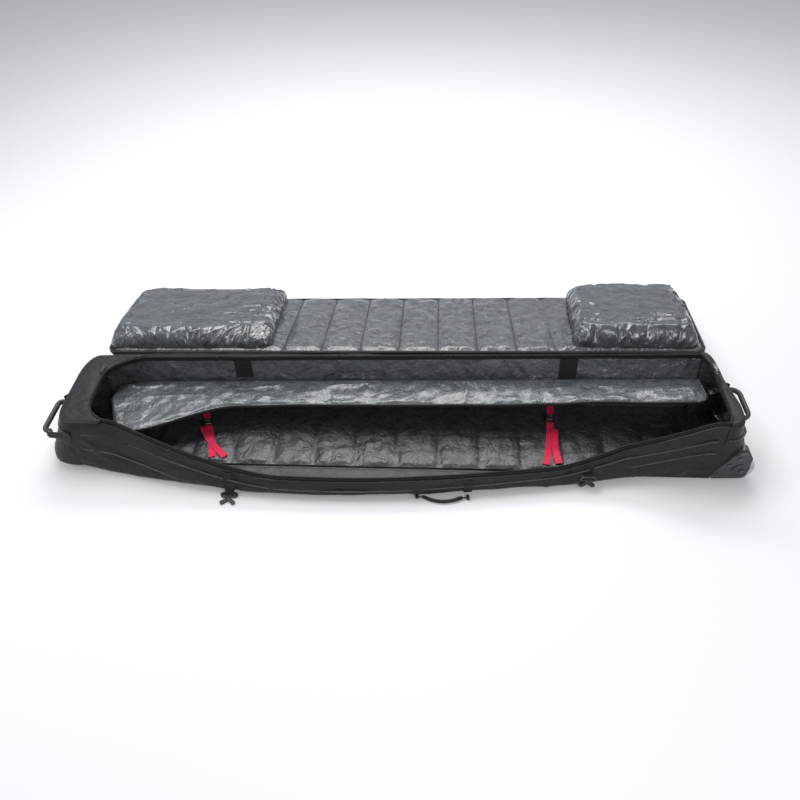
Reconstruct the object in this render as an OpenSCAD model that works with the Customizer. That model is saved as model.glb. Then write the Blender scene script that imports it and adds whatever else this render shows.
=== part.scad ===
// Long wheeled ski bag, lying open on its base: a soft tray with stiff ends, a padded lid hinged
// along the back edge, an inner cover flap, wheels at one end and grab handles.
// X runs along the bag towards the wheels, Y towards the lid hinge, Z up. The origin is on the
// floor under the middle of the base.

/* [Tray] */
// Overall length of the bag
bag_l = 1950; // [1800:10:2050]
// Width of the base
base_w = 280; // [270:5:300]
// Height of the rim at mid-length
rim_h = 176; // [170:1:190]
// Rise of the rim for each metre towards the wheels
rim_rise = 19.5; // [10:0.5:22]
// Thickness of the padded outer walls
wall_t = 5; // [4:0.5:6]
// Thickness of the inner lining
lining_t = 2; // [1.5:0.5:2.5]
// Radius of the corners of the base
corner_r = 90; // [85:1:100]
// Inward lean of the left end panel at its top
left_lean = 50; // [40:1:60]
// Inward lean of the wheeled end panel at its top, towards the back
right_lean = 62; // [50:1:65]
// and towards the front
right_lean_front = 46; // [40:1:65]
// Outward lean of the back wall at its top
back_lean = 18; // [10:1:25]

/* [Fallen front wall] */
// How far the unzipped front wall falls outwards at its widest
slump = 101; // [60:1:110]
// Height of the fallen front rim
fallen_h = 56; // [50:1:70]

/* [Lid] */
// Depth of the lid from hinge side to free side
lid_d = 422; // [380:2:440]
// Length of the lid along the hinge
lid_hinge_l = 1780; // [1700:10:1800]
// Length of the lid along its free side
lid_free_l = 1880; // [1800:10:1900]
// Thickness of the lid at its edges
lid_edge_t = 36; // [30:1:40]
// Outward crown of the lid's outer face
lid_crown = 37; // [25:1:38]
// Angle of the open lid below the horizontal
droop = 14; // [12:0.5:14]
// Height of the left pocket on the lid above its lining
left_pocket_t = 58; // [30:1:60]
// Height of the right pocket
right_pocket_t = 68; // [30:1:70]

/* [Inner flap] */
// Thickness of the foam in the inner flap
flap_t = 6; // [4:1:8]

/* [Wheels] */
// Radius of a wheel
wheel_r = 37.5; // [35:0.5:38]
// Width of a wheel
wheel_w = 24; // [20:1:25]
// Radius of a wheel axle
axle_r = 4; // [3:0.5:5]

/* [Straps and handles] */
// Width of the compression webbing
webbing_w = 50; // [40:5:50]
// Width of the ski straps
ski_strap_w = 20; // [15:1:25]
// Length of an end grip between its two pivots
grip_l = 130; // [110:5:140]
// Radius of an end grip
grip_r = 7; // [6:0.5:7]

/* [Hidden] */
gap = 0.3;                            // clearance between soft neighbours
eps = 0.01;
half_l = bag_l / 2;
half_w = base_w / 2;
left_x = -half_l;                     // foot of the left end panel
right_x = half_l - 20;                // foot of the wheeled end panel
rail_t = 4;                           // height of the skid rails
floor_z = rail_t;                     // underside of the fabric base
panel_t = 3;                          // bottom panel, base board and floor lining, each
corner_steps = 8;

// Wheels sit in moulded guards at the two lower corners of the right end
wheel_x = half_l - wheel_r - 2.5;
wheel_y = half_w - 18;                // middle of the wheel's width
guard_t = 5;
well_w = wheel_w + 6;
guard_in = wheel_y - well_w / 2 - guard_t;
guard_out = wheel_y + well_w / 2 + guard_t;
guard_x = wheel_x - 79;
guard_h = 100;

// Rim height along the bag, and how the fallen front wall hangs away from it
function rim_z(x) = rim_h + rim_rise * x / 1000;
function clamp01(t) = min(1, max(0, t));
function smooth(t) = let (c = clamp01(t)) c * c * (3 - 2 * c);
function mix(a, b, t) = a + (b - a) * t;
slump_x = -0.2 * half_l;
fallen_left = -0.81 * half_l;         // where the front rim leaves full height, left
fallen_right = 0.85 * half_l;         // and right
function bulge(x) = x < slump_x
    ? slump * max(0, cos(90 * (slump_x - x) / (0.8 * half_l)))
    : slump * pow(max(0, cos(min(90, 90 * (x - slump_x) / (1.07 * half_l)))), 1.5);
function fall(x) = 1 - pow(1 - clamp01(min((x - fallen_left) / 470, (fallen_right - x) / 410)), 1.5);
function front_rim_z(x) = mix(rim_z(x), fallen_h, fall(x));
function front_rim_y(x) = min(8 - half_w,
    10 - half_w - bulge(x) + 0.42 * (front_rim_z(x) - fallen_h));
function back_rim_y(x) = half_w + back_lean + 10 * x / 1000;

// A wall's section is a foot, a shoulder and a rim, as [outward, height] from the base line
function front_section(x) = let (b = bulge(x))
    [[0, floor_z], [b, mix(45, floor_z, clamp01(b / 35))], [-front_rim_y(x) - half_w, front_rim_z(x)]];
function back_section(x) = [[0, floor_z], [5, 0.35 * rim_z(x)],
    [back_rim_y(x) - half_w, rim_z(x)]];
left_section = [[0, floor_z], [2, 45], [-left_lean, rim_z(left_x)]];
function right_section(y) = [[0, floor_z], [2, 45],
    [-mix(right_lean_front, right_lean, clamp01(y / (2 * corner_y) + 0.5)), rim_z(right_x)]];

// The section with its shoulder rounded, then moved inwards by t along its own normal
function shoulder(s) = let (a = s[0] + 0.6 * (s[1] - s[0]), b = s[1] + 0.45 * (s[2] - s[1]))
    [s[0], for (t = [0:0.25:1]) (1 - t) * (1 - t) * a + 2 * t * (1 - t) * s[1] + t * t * b, s[2]];
function inset(p, t) = [for (i = [0:len(p) - 1])
    let (d = p[min(i + 1, len(p) - 1)] - p[max(i - 1, 0)]) p[i] - t * [d[1], -d[0]] / norm(d)];

// A station is [point on the base line, outward direction, section]
corner_l = left_x + corner_r;
corner_x = right_x - corner_r;
corner_y = half_w - corner_r;
function front_station(x) = [[x, -half_w], [0, -1], front_section(x)];
function back_station(x) = [[x, half_w], [0, 1], back_section(x)];
function left_station(y) = [[left_x, y], [-1, 0], left_section];
function right_station(y) = [[right_x, y], [1, 0], right_section(y)];
// Corners are superellipses in plan: square holds their exponents at foot, shoulder and rim
function corner_out(b, r0, r1, e) = 1 / pow(pow(cos(b) / r0, e) + pow(sin(b) / r1, e), 1 / e);
function corner(centre, a0, s0, s1, square) = [for (i = [1:corner_steps - 1])
    let (b = 90 * i / corner_steps, d = [cos(a0 + b), sin(a0 + b)], w = smooth(i / corner_steps))
    [centre + corner_r * d, d, [for (k = [0:2])
        [corner_out(b, corner_r + s0[k][0], corner_r + s1[k][0], square[k]) - corner_r,
         mix(s0[k][1], s1[k][1], w)]]]];
front_x = [for (i = [0:30]) mix(corner_l, corner_x, i / 30)];
front_stations = [for (x = front_x) front_station(x)];
back_stations = [for (i = [0:12]) back_station(mix(corner_x, corner_l, i / 12))];
right_stations = [front_station(corner_x),
    each corner([corner_x, -corner_y], -90, front_section(corner_x), right_section(-corner_y), [4, 4, 3.5]),
    for (i = [0:2]) right_station(corner_y * (i - 1)),
    each corner([corner_x, corner_y], 0, right_section(corner_y), back_section(corner_x), [3, 3, 3]),
    back_station(corner_x)];
left_stations = [back_station(corner_l),
    each corner([corner_l, corner_y], 90, back_section(corner_l), left_section, [2.4, 2.4, 2.2]),
    for (i = [0:2]) left_station(corner_y * (1 - i)),
    each corner([corner_l, -corner_y], 180, left_section, front_section(corner_l), [4, 3.4, 2.2]),
    front_station(corner_l)];
function place(st, p) = [st[0][0] + st[1][0] * p[0], st[0][1] + st[1][1] * p[0], p[1]];
function rim_point(st, t) = let (p = inset(shoulder(st[2]), t)) place(st, p[len(p) - 1]);

// A solid through rings of points; a closed one joins its last ring to its first. Point k of a
// ring faces point n - 1 - k across its thickness, so an open end is capped between the two, and
// both faces split their quads along the same diagonal.
module loft(rings, closed = false) {
    n = len(rings[0]);
    m = len(rings);
    last = closed ? m - 1 : m - 2;
    sides = [for (i = [0:last], j = [0:n - 1])
        let (a = i * n + j, b = i * n + (j + 1) % n, r = ((i + 1) % m) * n, c = r + j, d = r + (j + 1) % n)
        each (j < n / 2 ? [[a, b, d], [a, d, c]] : [[a, b, c], [b, d, c]])];
    end = (m - 1) * n;
    caps = closed ? [] : [for (k = [0:n / 2 - 2]) each [[k, n - 1 - k, n - 2 - k], [k, n - 2 - k, k + 1],
        [end + k, end + n - 2 - k, end + n - 1 - k], [end + k, end + k + 1, end + n - 2 - k]]];
    polyhedron([for (r = rings) each r], concat(sides, caps), convexity = 10);
}
module wall(stations, t0, t1) {
    loft([for (st = stations) let (s = shoulder(st[2]), o = inset(s, t0), i = inset(s, t1))
        [for (p = o) place(st, p), for (k = [len(i) - 1:-1:0]) place(st, i[k])]]);
}
// A strip of rectangular section along a closed path; side and height give its two spans
function path_normal(path, i) = let (n = len(path), d = path[(i + 1) % n] - path[(i + n - 1) % n])
    [-d[1], d[0], 0] / norm([d[0], d[1]]);
module strip(path, side, height) {
    loft([for (i = [0:len(path) - 1]) let (n = path_normal(path, i), up = [0, 0, 1])
        [path[i] + side[0] * n + height[0] * up, path[i] + side[0] * n + height[1] * up,
         path[i] + side[1] * n + height[1] * up, path[i] + side[1] * n + height[0] * up]], true);
}
// The two corners where the wheels go
module wheel_wells() {
    for (side = [-1, 1])
        translate([guard_x - gap, side > 0 ? guard_in - gap : -half_w - slump, -eps])
            cube([200, slump + half_w - guard_in + gap, guard_h + gap + eps]);
}

// Base
module base_plate(z, t, margin) {
    difference() {
        translate([0, 0, z]) linear_extrude(t) union() {
            translate([corner_l, -half_w + margin])
                square([corner_x - corner_l, base_w - 2 * margin]);
            translate([left_x + margin, -corner_y])
                square([right_x - left_x - 2 * margin, 2 * corner_y]);
            for (x = [corner_l, corner_x], y = [-corner_y, corner_y])
                translate([x, y]) circle(corner_r - margin, $fn = 64);
        }
        wheel_wells();
    }
}
module bottom_panel() {
    color("#26282b") base_plate(floor_z, panel_t, lining_out + 2 * gap);
}
module base_board() {
    color("#3a3a38") base_plate(floor_z + panel_t, panel_t, wall_t + lining_t + 3);
}
module floor_lining() {
    color("#2b2f33") base_plate(floor_z + 2 * panel_t, panel_t, wall_t + lining_t + 4);
}
module skid_rails() {
    color("#17181a") for (y = [-90, 0, 90])
        translate([-0.8 * half_l, y - 8, 0]) cube([1.6 * half_l, 16, rail_t]);
}

// Walls
front_seams = [0, 6, 12, 18, 24, 30];   // stations where the front wall's panels are sewn together
module front_wall() {
    color("#2d2f33") difference() {
        for (k = [0:len(front_seams) - 2]) let (a = front_seams[k], b = front_seams[k + 1])
            wall([for (i = [a:b]) front_station(front_x[i] + (i == a && a > 0 ? gap : 0))], 0, wall_t);
        wheel_wells();
    }
}
module back_wall() {
    color("#2d2f33") difference() {
        wall(back_stations, 0, wall_t);
        wheel_wells();
    }
}
module right_end() {
    color("#2d2f33") difference() {
        wall(right_stations, 0, wall_t);
        wheel_wells();
    }
}
module left_end() {
    color("#2d2f33") wall(left_stations, 0, wall_t);
}
lining_in = wall_t + gap;
lining_out = wall_t + gap + lining_t;
module front_lining() {
    color("#4a5058") difference() {
        wall(front_stations, lining_in, lining_out);
        wheel_wells();
    }
}
module back_lining() {
    color("#33373c") difference() {
        wall(back_stations, lining_in, lining_out);
        wheel_wells();
    }
}
module right_end_lining() {
    color("#33373c") difference() {
        wall(right_stations, lining_in, lining_out);
        wheel_wells();
    }
}
module left_end_lining() {
    color("#33373c") wall(left_stations, lining_in, lining_out);
}

// Yokes: the fixed tops over the two ends, from the rim to the edge of the opening
yoke_t = 4;
yoke_lift = 1.2;                      // the yokes lie this far above the rims of the end walls
left_open_x = -0.879 * half_l;        // edge of the opening over the left end
right_open_x = 0.905 * half_l;        // and over the wheeled end
left_front_x = -0.815 * half_l;       // where the yokes meet the front and back rims
left_back_x = -0.775 * half_l;
right_front_x = 0.893 * half_l;
right_back_x = 0.884 * half_l;
function left_edge(t) = let (y = mix(back_rim_y(left_back_x) - 9, front_rim_y(left_front_x) + 9, t),
    reach = t < 0.5 ? left_back_x : left_front_x)
    [left_open_x + (reach - left_open_x) * pow(abs(2 * t - 1), 4), y];
function right_edge(t) = let (y = mix(front_rim_y(right_front_x) + 9, back_rim_y(right_back_x) - 9, t),
    reach = t < 0.5 ? right_front_x : right_back_x)
    [right_open_x + (reach - right_open_x) * pow(abs(2 * t - 1), 4), y];
left_rim = [rim_point(back_station(left_back_x), 0), for (st = left_stations) rim_point(st, 0),
    rim_point(front_station(left_front_x), 0)];
right_rim = [rim_point(front_station(right_front_x), 0),
    for (i = [1:len(right_stations) - 2]) rim_point(right_stations[i], 0),
    rim_point(back_station(right_back_x), 0)];
module yoke(rim, edge) {
    n = len(rim) - 1;
    loft([for (i = [0:n]) let (e = edge[i], r = rim[i], z = rim_z(e[0]) + yoke_lift)
        [[r[0], r[1], r[2] + yoke_lift + yoke_t], [e[0], e[1], z + yoke_t],
         [e[0], e[1], z], [r[0], r[1], r[2] + yoke_lift]]]);
}
module left_yoke() {
    n = len(left_rim) - 1;
    color("#303236") yoke(left_rim, [for (i = [0:n]) left_edge(i / n)]);
}
module right_yoke() {
    n = len(right_rim) - 1;
    color("#303236") yoke(right_rim, [for (i = [0:n]) right_edge(i / n)]);
}

// The zip on the tray runs along the front rim, round the yokes and along the back rim
open_steps = 10;
zip_x = [left_front_x, for (x = front_x) if (x > left_front_x + 5 && x < right_front_x - 5) x,
    right_front_x];
zip_front = [for (x = zip_x) [x, front_rim_y(x) + 9 + gap, front_rim_z(x)]];
zip_right = [for (i = [1:open_steps - 1]) let (e = right_edge(i / open_steps))
    [e[0], e[1], rim_z(e[0])]];
zip_back = [for (i = [0:10]) let (x = mix(right_back_x, left_back_x, i / 10))
    [x, back_rim_y(x) - 9 - gap, rim_z(x)]];
zip_left = [for (i = [1:open_steps - 1]) let (e = left_edge(i / open_steps))
    [e[0], e[1], rim_z(e[0])]];
zip_path = concat(zip_front, zip_right, zip_back, zip_left);
tape_t = 1.6;
teeth_t = 2.4;
module body_zip_tape() {
    color("#151618") strip(zip_path, [gap, gap + tape_t], [-8, yoke_t]);
}
module body_zip_teeth() {
    color("#202225") strip(zip_path, [2 * gap + tape_t, 2 * gap + tape_t + teeth_t], [0, 3]);
}

// Webbing sewn inside the back wall, where the compression straps pass
webbing_x = [-0.477 * half_l, 0.503 * half_l];
module back_webbing() {
    color("#101113") for (x = webbing_x) {
        s = inset(shoulder(back_section(x)), lining_out + gap);
        foot = s[4];
        top = s[len(s) - 1];
        tilt = atan2(top[0] - foot[0], top[1] - foot[1]);
        translate([x - webbing_w / 2, half_w + top[0] - 3, top[1] - 12]) rotate([-tilt, 0, 0])
            translate([0, -4, -60]) cube([webbing_w, 2, 56]);
    }
}

// Wheels: each runs on two bearings round a fixed axle
bearing_r = 11;
bearing_w = 7;
hub_r = 24;
run = 0.05;                           // running clearance round the axle
module at_wheel(side) {
    translate([wheel_x, side * wheel_y, wheel_r]) rotate([90, 0, 0]) children();
}
module tyre(side) {
    color("#b9bfc4") at_wheel(side) rotate_extrude($fn = 64) difference() {
        union() {
            translate([hub_r, -wheel_w / 2]) square([wheel_r - hub_r - 5, wheel_w]);
            translate([hub_r, 5 - wheel_w / 2]) square([wheel_r - hub_r, wheel_w - 10]);
            for (z = [5 - wheel_w / 2, wheel_w / 2 - 5])
                translate([wheel_r - 5, z]) circle(5, $fn = 32);
        }
        translate([0, -wheel_w]) square([hub_r, 2 * wheel_w]);
    }
}
module wheel_hub(side) {
    color("#3c4045") at_wheel(side) difference() {
        rotate_extrude($fn = 64) difference() {
            translate([0, -wheel_w / 2]) square([hub_r, wheel_w]);
            for (z = [-1, 1]) translate([bearing_r + 3, z * wheel_w / 2 - 4]) square([7, 8]);
        }
        for (z = [-wheel_w / 2 - 1, wheel_w / 2 - bearing_w])
            translate([0, 0, z]) cylinder(bearing_w + 1, r = bearing_r, $fn = 48);
        cylinder(wheel_w + 2, r = bearing_r - 3, center = true, $fn = 48);
    }
}
module bearings(side) {
    color("#8d9196") at_wheel(side) for (z = [-wheel_w / 2, wheel_w / 2 - bearing_w])
        translate([0, 0, z]) difference() {
            cylinder(bearing_w, r = bearing_r, $fn = 48);
            translate([0, 0, -1]) cylinder(bearing_w + 2, r = axle_r + run, $fn = 48);
        }
}
module axle(side) {
    color("#6f7378") at_wheel(side) {
        cylinder(guard_out - guard_in, r = axle_r, center = true, $fn = 48);
        translate([0, 0, -side * ((guard_out - guard_in) / 2 + 1.5)])
            cylinder(3, r = 8, center = true, $fn = 48);
    }
}

// Moulded guards round the wheels, open below and at the end
screw_at = [[-62, -14], [-38, 22], [-16, 47]];     // from the wheel's centre, in X and Z
module guard_outline() {
    hull() {
        translate([3, -14]) circle(14, $fn = 48);
        translate([-66, -20]) circle(12, $fn = 32);
        translate([-24, 44]) circle(16, $fn = 48);
        translate([0, 46]) circle(16, $fn = 48);
    }
}
module wheel_guard(side) {
    color("#3b3e42") at_wheel(side) difference() {
        linear_extrude(guard_out - guard_in, center = true) guard_outline();
        cylinder(well_w, r = wheel_r + 5, center = true, $fn = 64);
        translate([0, -wheel_r, 0]) cube([2 * (wheel_r - 8), 40, well_w], center = true);
        translate([wheel_r, 0, 0]) cube([60, 2 * wheel_r, well_w], center = true);
        cylinder(guard_out - guard_in + 2, r = axle_r, center = true, $fn = 48);
        rotate([0, 0, 95]) rotate_extrude(angle = 80, $fn = 64)
            translate([26.5, side > 0 ? -(guard_out - guard_in) / 2 - 1 : well_w / 2 - 1])
                square([4, guard_t + 2]);
        for (p = screw_at)
            translate([p[0], p[1], side > 0 ? (guard_in - guard_out) / 2 : (guard_out - guard_in) / 2])
                cylinder(12, r = 2, center = true, $fn = 32);
    }
}
module guard_screws() {
    color("#8a8d90") for (side = [-1, 1]) at_wheel(side) for (p = screw_at)
        translate([p[0], p[1], -side * (guard_out - guard_in) / 2]) rotate([side > 0 ? 180 : 0, 0, 0]) {
            translate([0, 0, -5]) cylinder(5, r = 2 - eps, $fn = 32);
            cylinder(2, r = 5, $fn = 32);
        }
}

// End grips: a bar on two bent arms, swinging on pins along Y in two anchors
bend_r = [12, 22];
pivot_r = 3;
pivot_off = [9, 14];                  // how far the pivots stand off the end panels
left_reach = 18;                      // reach of a grip's bar from its pivots
right_reach = 28;
function panel_out(s, z) = mix(s[1][0], s[2][0], (z - s[1][1]) / (s[2][1] - s[1][1]));
left_grip_z = 120;
right_grip_z = 125;
left_pivot = [left_x - panel_out(left_section, left_grip_z) - pivot_off[0], -0.033 * bag_l,
    left_grip_z];
right_grip_y = 0.016 * bag_l;
right_pivot = [right_x + panel_out(right_section(right_grip_y), right_grip_z) + pivot_off[1],
    right_grip_y, right_grip_z];
module grip_shape(reach, bend_r) {
    bar = grip_l - 2 * bend_r - 2 * grip_r;
    translate([reach, 0, 0]) rotate([90, 0, 0]) cylinder(bar, r = grip_r, center = true, $fn = 40);
    for (s = [-1, 1]) {
        translate([reach - bend_r, s * bar / 2, 0]) rotate([0, 0, s > 0 ? 0 : -90])
            rotate_extrude(angle = 90, $fn = 48) translate([bend_r, 0]) circle(grip_r, $fn = 40);
        translate([reach - bend_r, s * (bar / 2 + bend_r), 0]) rotate([0, -90, 0])
            cylinder(reach - bend_r, r = grip_r, $fn = 40);
        translate([0, s * (bar / 2 + bend_r), 0]) sphere(grip_r, $fn = 40);
    }
}
module grip(pivot, turn, reach, bend_r) {
    translate(pivot) rotate([0, 0, turn]) difference() {
        grip_shape(reach, bend_r);
        rotate([90, 0, 0]) cylinder(grip_l + 20, r = pivot_r + run, center = true, $fn = 32);
    }
}
module handle_anchors(pivot, turn, slope) {
    bracket = [11, 6, 16];
    pin_l = 18;
    translate(pivot) rotate([0, 0, turn]) for (s = [-1, 1]) {
        rotate([-s * 90, 0, 0]) translate([0, 0, grip_l / 2 + gap + 6 - pin_l])
            cylinder(pin_l, r = pivot_r, $fn = 32);
        translate([0, s * (grip_l / 2 + gap + 3), 0]) rotate([0, slope, 0]) difference() {
            translate([-2, 0, 0]) cube(bracket, center = true);
            rotate([90, 0, 0]) cylinder(8, r = pivot_r, center = true, $fn = 32);
        }
    }
}
module left_handle_anchors() {
    color("#141517") handle_anchors(left_pivot, 180, -atan(left_lean / (rim_h - 45)));
}
module right_handle_anchors() {
    color("#141517") handle_anchors(right_pivot, 0, -atan(right_lean / (rim_h - 30)));
}
module left_grip() {
    color("#2c302e") grip(left_pivot, 180, left_reach, bend_r[0]);
}
module right_grip() {
    color("#2c302e") grip(right_pivot, 0, right_reach, bend_r[1]);
}

// Side handle: a flat loop of webbing lying on the floor in front of the bag
side_x = 0.131 * half_l;
side_l = 125;
side_reach = 15;
side_y = -half_w - bulge(side_x) - 6;
side_eye = side_l / 2 - 10;           // the eyes' distance from the middle
function side_arc(t) = [side_eye * t, -side_reach * (1 - t * t)];
module side_handle() {
    color("#141517") translate([side_x, side_y, 5]) difference() {
        union() {
            loft([for (i = [-8:8]) let (c = side_arc(i / 8), d = side_arc(i / 8 + 0.01) - c)
                [for (a = [22.5:45:360]) [each c + 5 * cos(a) * [-d[1], d[0]] / norm(d), -4 * sin(a)]]]);
            for (s = [-1, 1]) translate([s * side_eye, 0, 0]) rotate([0, 90, 0])
                cylinder(12, r = 4, center = true, $fn = 32);
        }
        for (s = [-1, 1]) translate([s * side_eye, 0, 0]) rotate([0, 90, 0])
            cylinder(40, r = 2 + run, center = true, $fn = 32);
    }
}
module side_handle_anchors() {
    color("#141517") translate([side_x, side_y, 5]) for (s = [-1, 1]) {
        translate([s * side_eye, 0, 0]) rotate([0, 90, 0]) cylinder(24, r = 2, center = true, $fn = 32);
        translate([s * (side_l / 2 + 6), 2, 0]) cube([8, 12, 8], center = true);
    }
}

// Strap hooks on short webbing at the foot of the front wall. Each is a slotted bar with two
// splayed legs; the first lies on the floor and the second hangs against the wall.
hook_x = [-0.462 * half_l, 0.533 * half_l];
hook_y = [-half_w - bulge(hook_x[0]) - 10, -half_w - bulge(hook_x[1]) - 7];
hook_z = [3.5, 36];
hook_turn = [0, 90];
web_turn = [-35, 200];                // the webbing's direction out of the slot
web_l = [14, 7];
hook_t = 4;
slot_w = 30;
slot_h = 7;
module hook_shape() {
    translate([0, 0, -hook_t / 2]) linear_extrude(hook_t) difference() {
        union() {
            hull() for (x = [-15, 15]) translate([x, 0]) circle(8.5, $fn = 48);
            translate([-7, -19]) square([14, 14]);
            for (s = [-1, 1]) hull() {
                translate([s * 4, -17]) circle(5, $fn = 32);
                translate([s * 15, -26]) circle(6, $fn = 32);
            }
        }
        translate([-slot_w / 2, -slot_h / 2]) square([slot_w, slot_h]);
    }
}
module at_hook(i) {
    translate([hook_x[i], hook_y[i], hook_z[i]]) rotate([hook_turn[i], 0, 0]) children();
}
module hook(i) {
    color("#1b1d20") at_hook(i) hook_shape();
}
module hook_webbing(i) {
    color("#141517") at_hook(i) {
        rotate([0, 90, 0]) cylinder(slot_w - 4, r = 1.6, center = true, $fn = 32);
        rotate([web_turn[i], 0, 0]) translate([2 - slot_w / 2, -0.6, 0])
            cube([slot_w - 4, 1.2, web_l[i]]);
    }
}

// Ski straps lying across the floor, each with a tail and a cam buckle
strap_t = 2;
floor_top = floor_z + 3 * panel_t;
strap_at = [[-0.595, 60, -0.535, -118], [0.462, 120, 0.426, -118]];
module strap_run(x0, y0, x1, y1, z) {
    d = norm([x1 - x0, y1 - y0]);
    translate([x0, y0, z]) rotate([0, 0, atan2(y1 - y0, x1 - x0)])
        translate([0, -ski_strap_w / 2, 0]) cube([d, ski_strap_w, strap_t]);
}
module ski_strap(i) {
    p = strap_at[i];
    x0 = p[0] * half_l;
    x1 = p[2] * half_l;
    color("#e8305c") union() {
        strap_run(x0, p[1], x1, p[3], floor_top + gap);
        strap_run(x0, 0.25 * p[1] - 20, x1 + 36, p[3] + 2, floor_top + gap + strap_t);
    }
}
module strap_buckles() {
    color("#1b1d20") for (p = strap_at)
        translate([mix(p[0], p[2], 0.25) * half_l, mix(p[1], p[3], 0.25), floor_top + 2 * gap + strap_t])
            translate([-13, -9, 0]) cube([26, 14, 7]);
}

// Fabric strip that joins the back rim to the lid
hinge_y = half_w + 48;
function hinge_z(x) = rim_z(x) + 1;
module hinge_gusset() {
    color("#1c1e21") loft([for (i = [0:8]) let (x = mix(-0.5, 0.5, i / 8) * (lid_hinge_l - 60),
        y = back_rim_y(x) + 1, z = rim_z(x))
        [[x, y, z - 1], [x, hinge_y - 2, z + 1], [x, hinge_y - 2, z - 1], [x, y, z - 3]]]);
}

// Inner flap: a long foam-filled cover, sewn to the back wall and lying forwards
flap_left = -830;                     // its left end, cut at a slant up to flap_tip
flap_tip = -765;
flap_right = 870;                     // its right end, rounded at the front
flap_round = 30;
function flap_y(x) = half_w - 8 + 6 * x / 1000 - 20 * max(0, (flap_tip - x) / (flap_tip - flap_left));
function flap_z(x) = 96 + 24 * x / 1000;
function flap_lobe(x) = 20 + 14 * x / 1000 - 104 * smooth((-0.46 * half_l - x) / 330);
function flap_front(x) = x < flap_tip ? mix(45, flap_lobe(flap_tip), (x - flap_left) / (flap_tip - flap_left))
    : flap_lobe(x) + flap_round - sqrt(pow(flap_round, 2) - pow(max(0, x - flap_right + flap_round), 2));
flap_x = [flap_left, -800, flap_tip, for (i = [1:14]) mix(flap_tip, flap_right - flap_round, i / 14),
    flap_right - 18, flap_right - 7, flap_right - 2, flap_right];
flap_rise = 8;                        // the free edge lies a little above the seam
function flap_at(x, t, n) = [x, mix(flap_y(x), flap_front(x), t), flap_z(x) + flap_rise * t + n];
module flap_layer(n0, n1, t1) {
    loft([for (x = flap_x)
        [flap_at(x, 0, n0), flap_at(x, t1, n0), flap_at(x, t1, n1), flap_at(x, 0, n1)]]);
}
module flap_foam() {
    color("#55585c") flap_layer(0, flap_t, 0.96);
}
module flap_cover() {
    color("#565d66") union() {
        flap_layer(flap_t + gap, flap_t + gap + 1.5, 0.98);
        flap_layer(-gap - 1.5, -gap, 0.98);
    }
}
module flap_binding() {
    color("#17181a") loft([for (x = flap_x) let (p = flap_at(x, 1, 0))
        [p + [0, -6, -2], p + [0, -6, flap_t + 2], p + [0, -1, flap_t + 2], p + [0, -1, -2]]]);
}

// Lid, drawn in its own frame: u along the hinge, w away from it, n out of its inner face
lid_w0 = 10;                          // start of the lid from the hinge axis
lid_n = -14;                          // inner face, below the axis when open
lid_r = 40;
hinge_tilt = atan(rim_rise / 1000);
module lid_frame() {
    translate([0, hinge_y, hinge_z(0)]) rotate([0, -hinge_tilt, 0]) rotate([-droop, 0, 0]) children();
}
function round_in(d) = d >= lid_r ? 0 : lid_r - sqrt(lid_r * lid_r - pow(lid_r - d, 2));
function lid_half(w) = mix(lid_hinge_l, lid_free_l, (w - lid_w0) / lid_d) / 2
    - round_in(w - lid_w0) - round_in(lid_w0 + lid_d - w);
lid_ws = [for (a = [0:22.5:90]) lid_w0 + lid_r * (1 - cos(a)),
    for (i = [1:5]) mix(lid_w0 + lid_r, lid_w0 + lid_d - lid_r, i / 6),
    for (a = [90:-22.5:0]) lid_w0 + lid_d - lid_r * (1 - cos(a))];
lid_us = [-1, -0.985, -0.95, -0.85, -0.6, -0.3, 0, 0.3, 0.6, 0.85, 0.95, 0.985, 1];
function crown(u, w) = lid_crown * (1 - pow(abs(u), 12))
    * (1 - pow(abs(2 * (w - lid_w0) / lid_d - 1), 5));
module lid_layer(n0, n1, margin, crowned) {
    loft([for (u = lid_us) [for (w = lid_ws) [u * (lid_half(w) - margin), w, n1],
        for (k = [len(lid_ws) - 1:-1:0]) let (w = lid_ws[k])
            [u * (lid_half(w) - margin), w, n0 - (crowned ? crown(u, w) : 0)]]]);
}
module lid_lining() {
    color("#50565e") lid_frame() lid_layer(lid_n - 3, lid_n, 0, false);
}
module lid_foam() {
    color("#55585c") lid_frame() lid_layer(lid_n - 13, lid_n - 3 - gap, 0, false);
}
module lid_cover() {
    color("#2d2f33") lid_frame() lid_layer(lid_n - lid_edge_t, lid_n - 13 - gap, 0, true);
}
lid_path = concat(
    [for (w = lid_ws) [lid_half(w), w, 0]],
    [for (i = [1:7]) [mix(lid_half(lid_w0 + lid_d), -lid_half(lid_w0 + lid_d), i / 8), lid_w0 + lid_d, 0]],
    [for (k = [len(lid_ws) - 1:-1:0]) [-lid_half(lid_ws[k]), lid_ws[k], 0]],
    [for (i = [1:7]) [mix(-lid_half(lid_w0), lid_half(lid_w0), i / 8), lid_w0, 0]]);
module lid_binding() {
    color("#121315") lid_frame() strip(lid_path, [-gap - 5, -gap], [lid_n - 8, lid_n - 1]);
}
module lid_zip_tape() {
    color("#151618") lid_frame() strip(lid_path, [-gap - 5, -gap], [lid_n - 10, lid_n - 8 - gap]);
}
module lid_zip_teeth() {
    color("#202225") lid_frame() strip(lid_path, [-gap - 5, -gap - 2], [lid_n - 13, lid_n - 10 - gap]);
}

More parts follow.
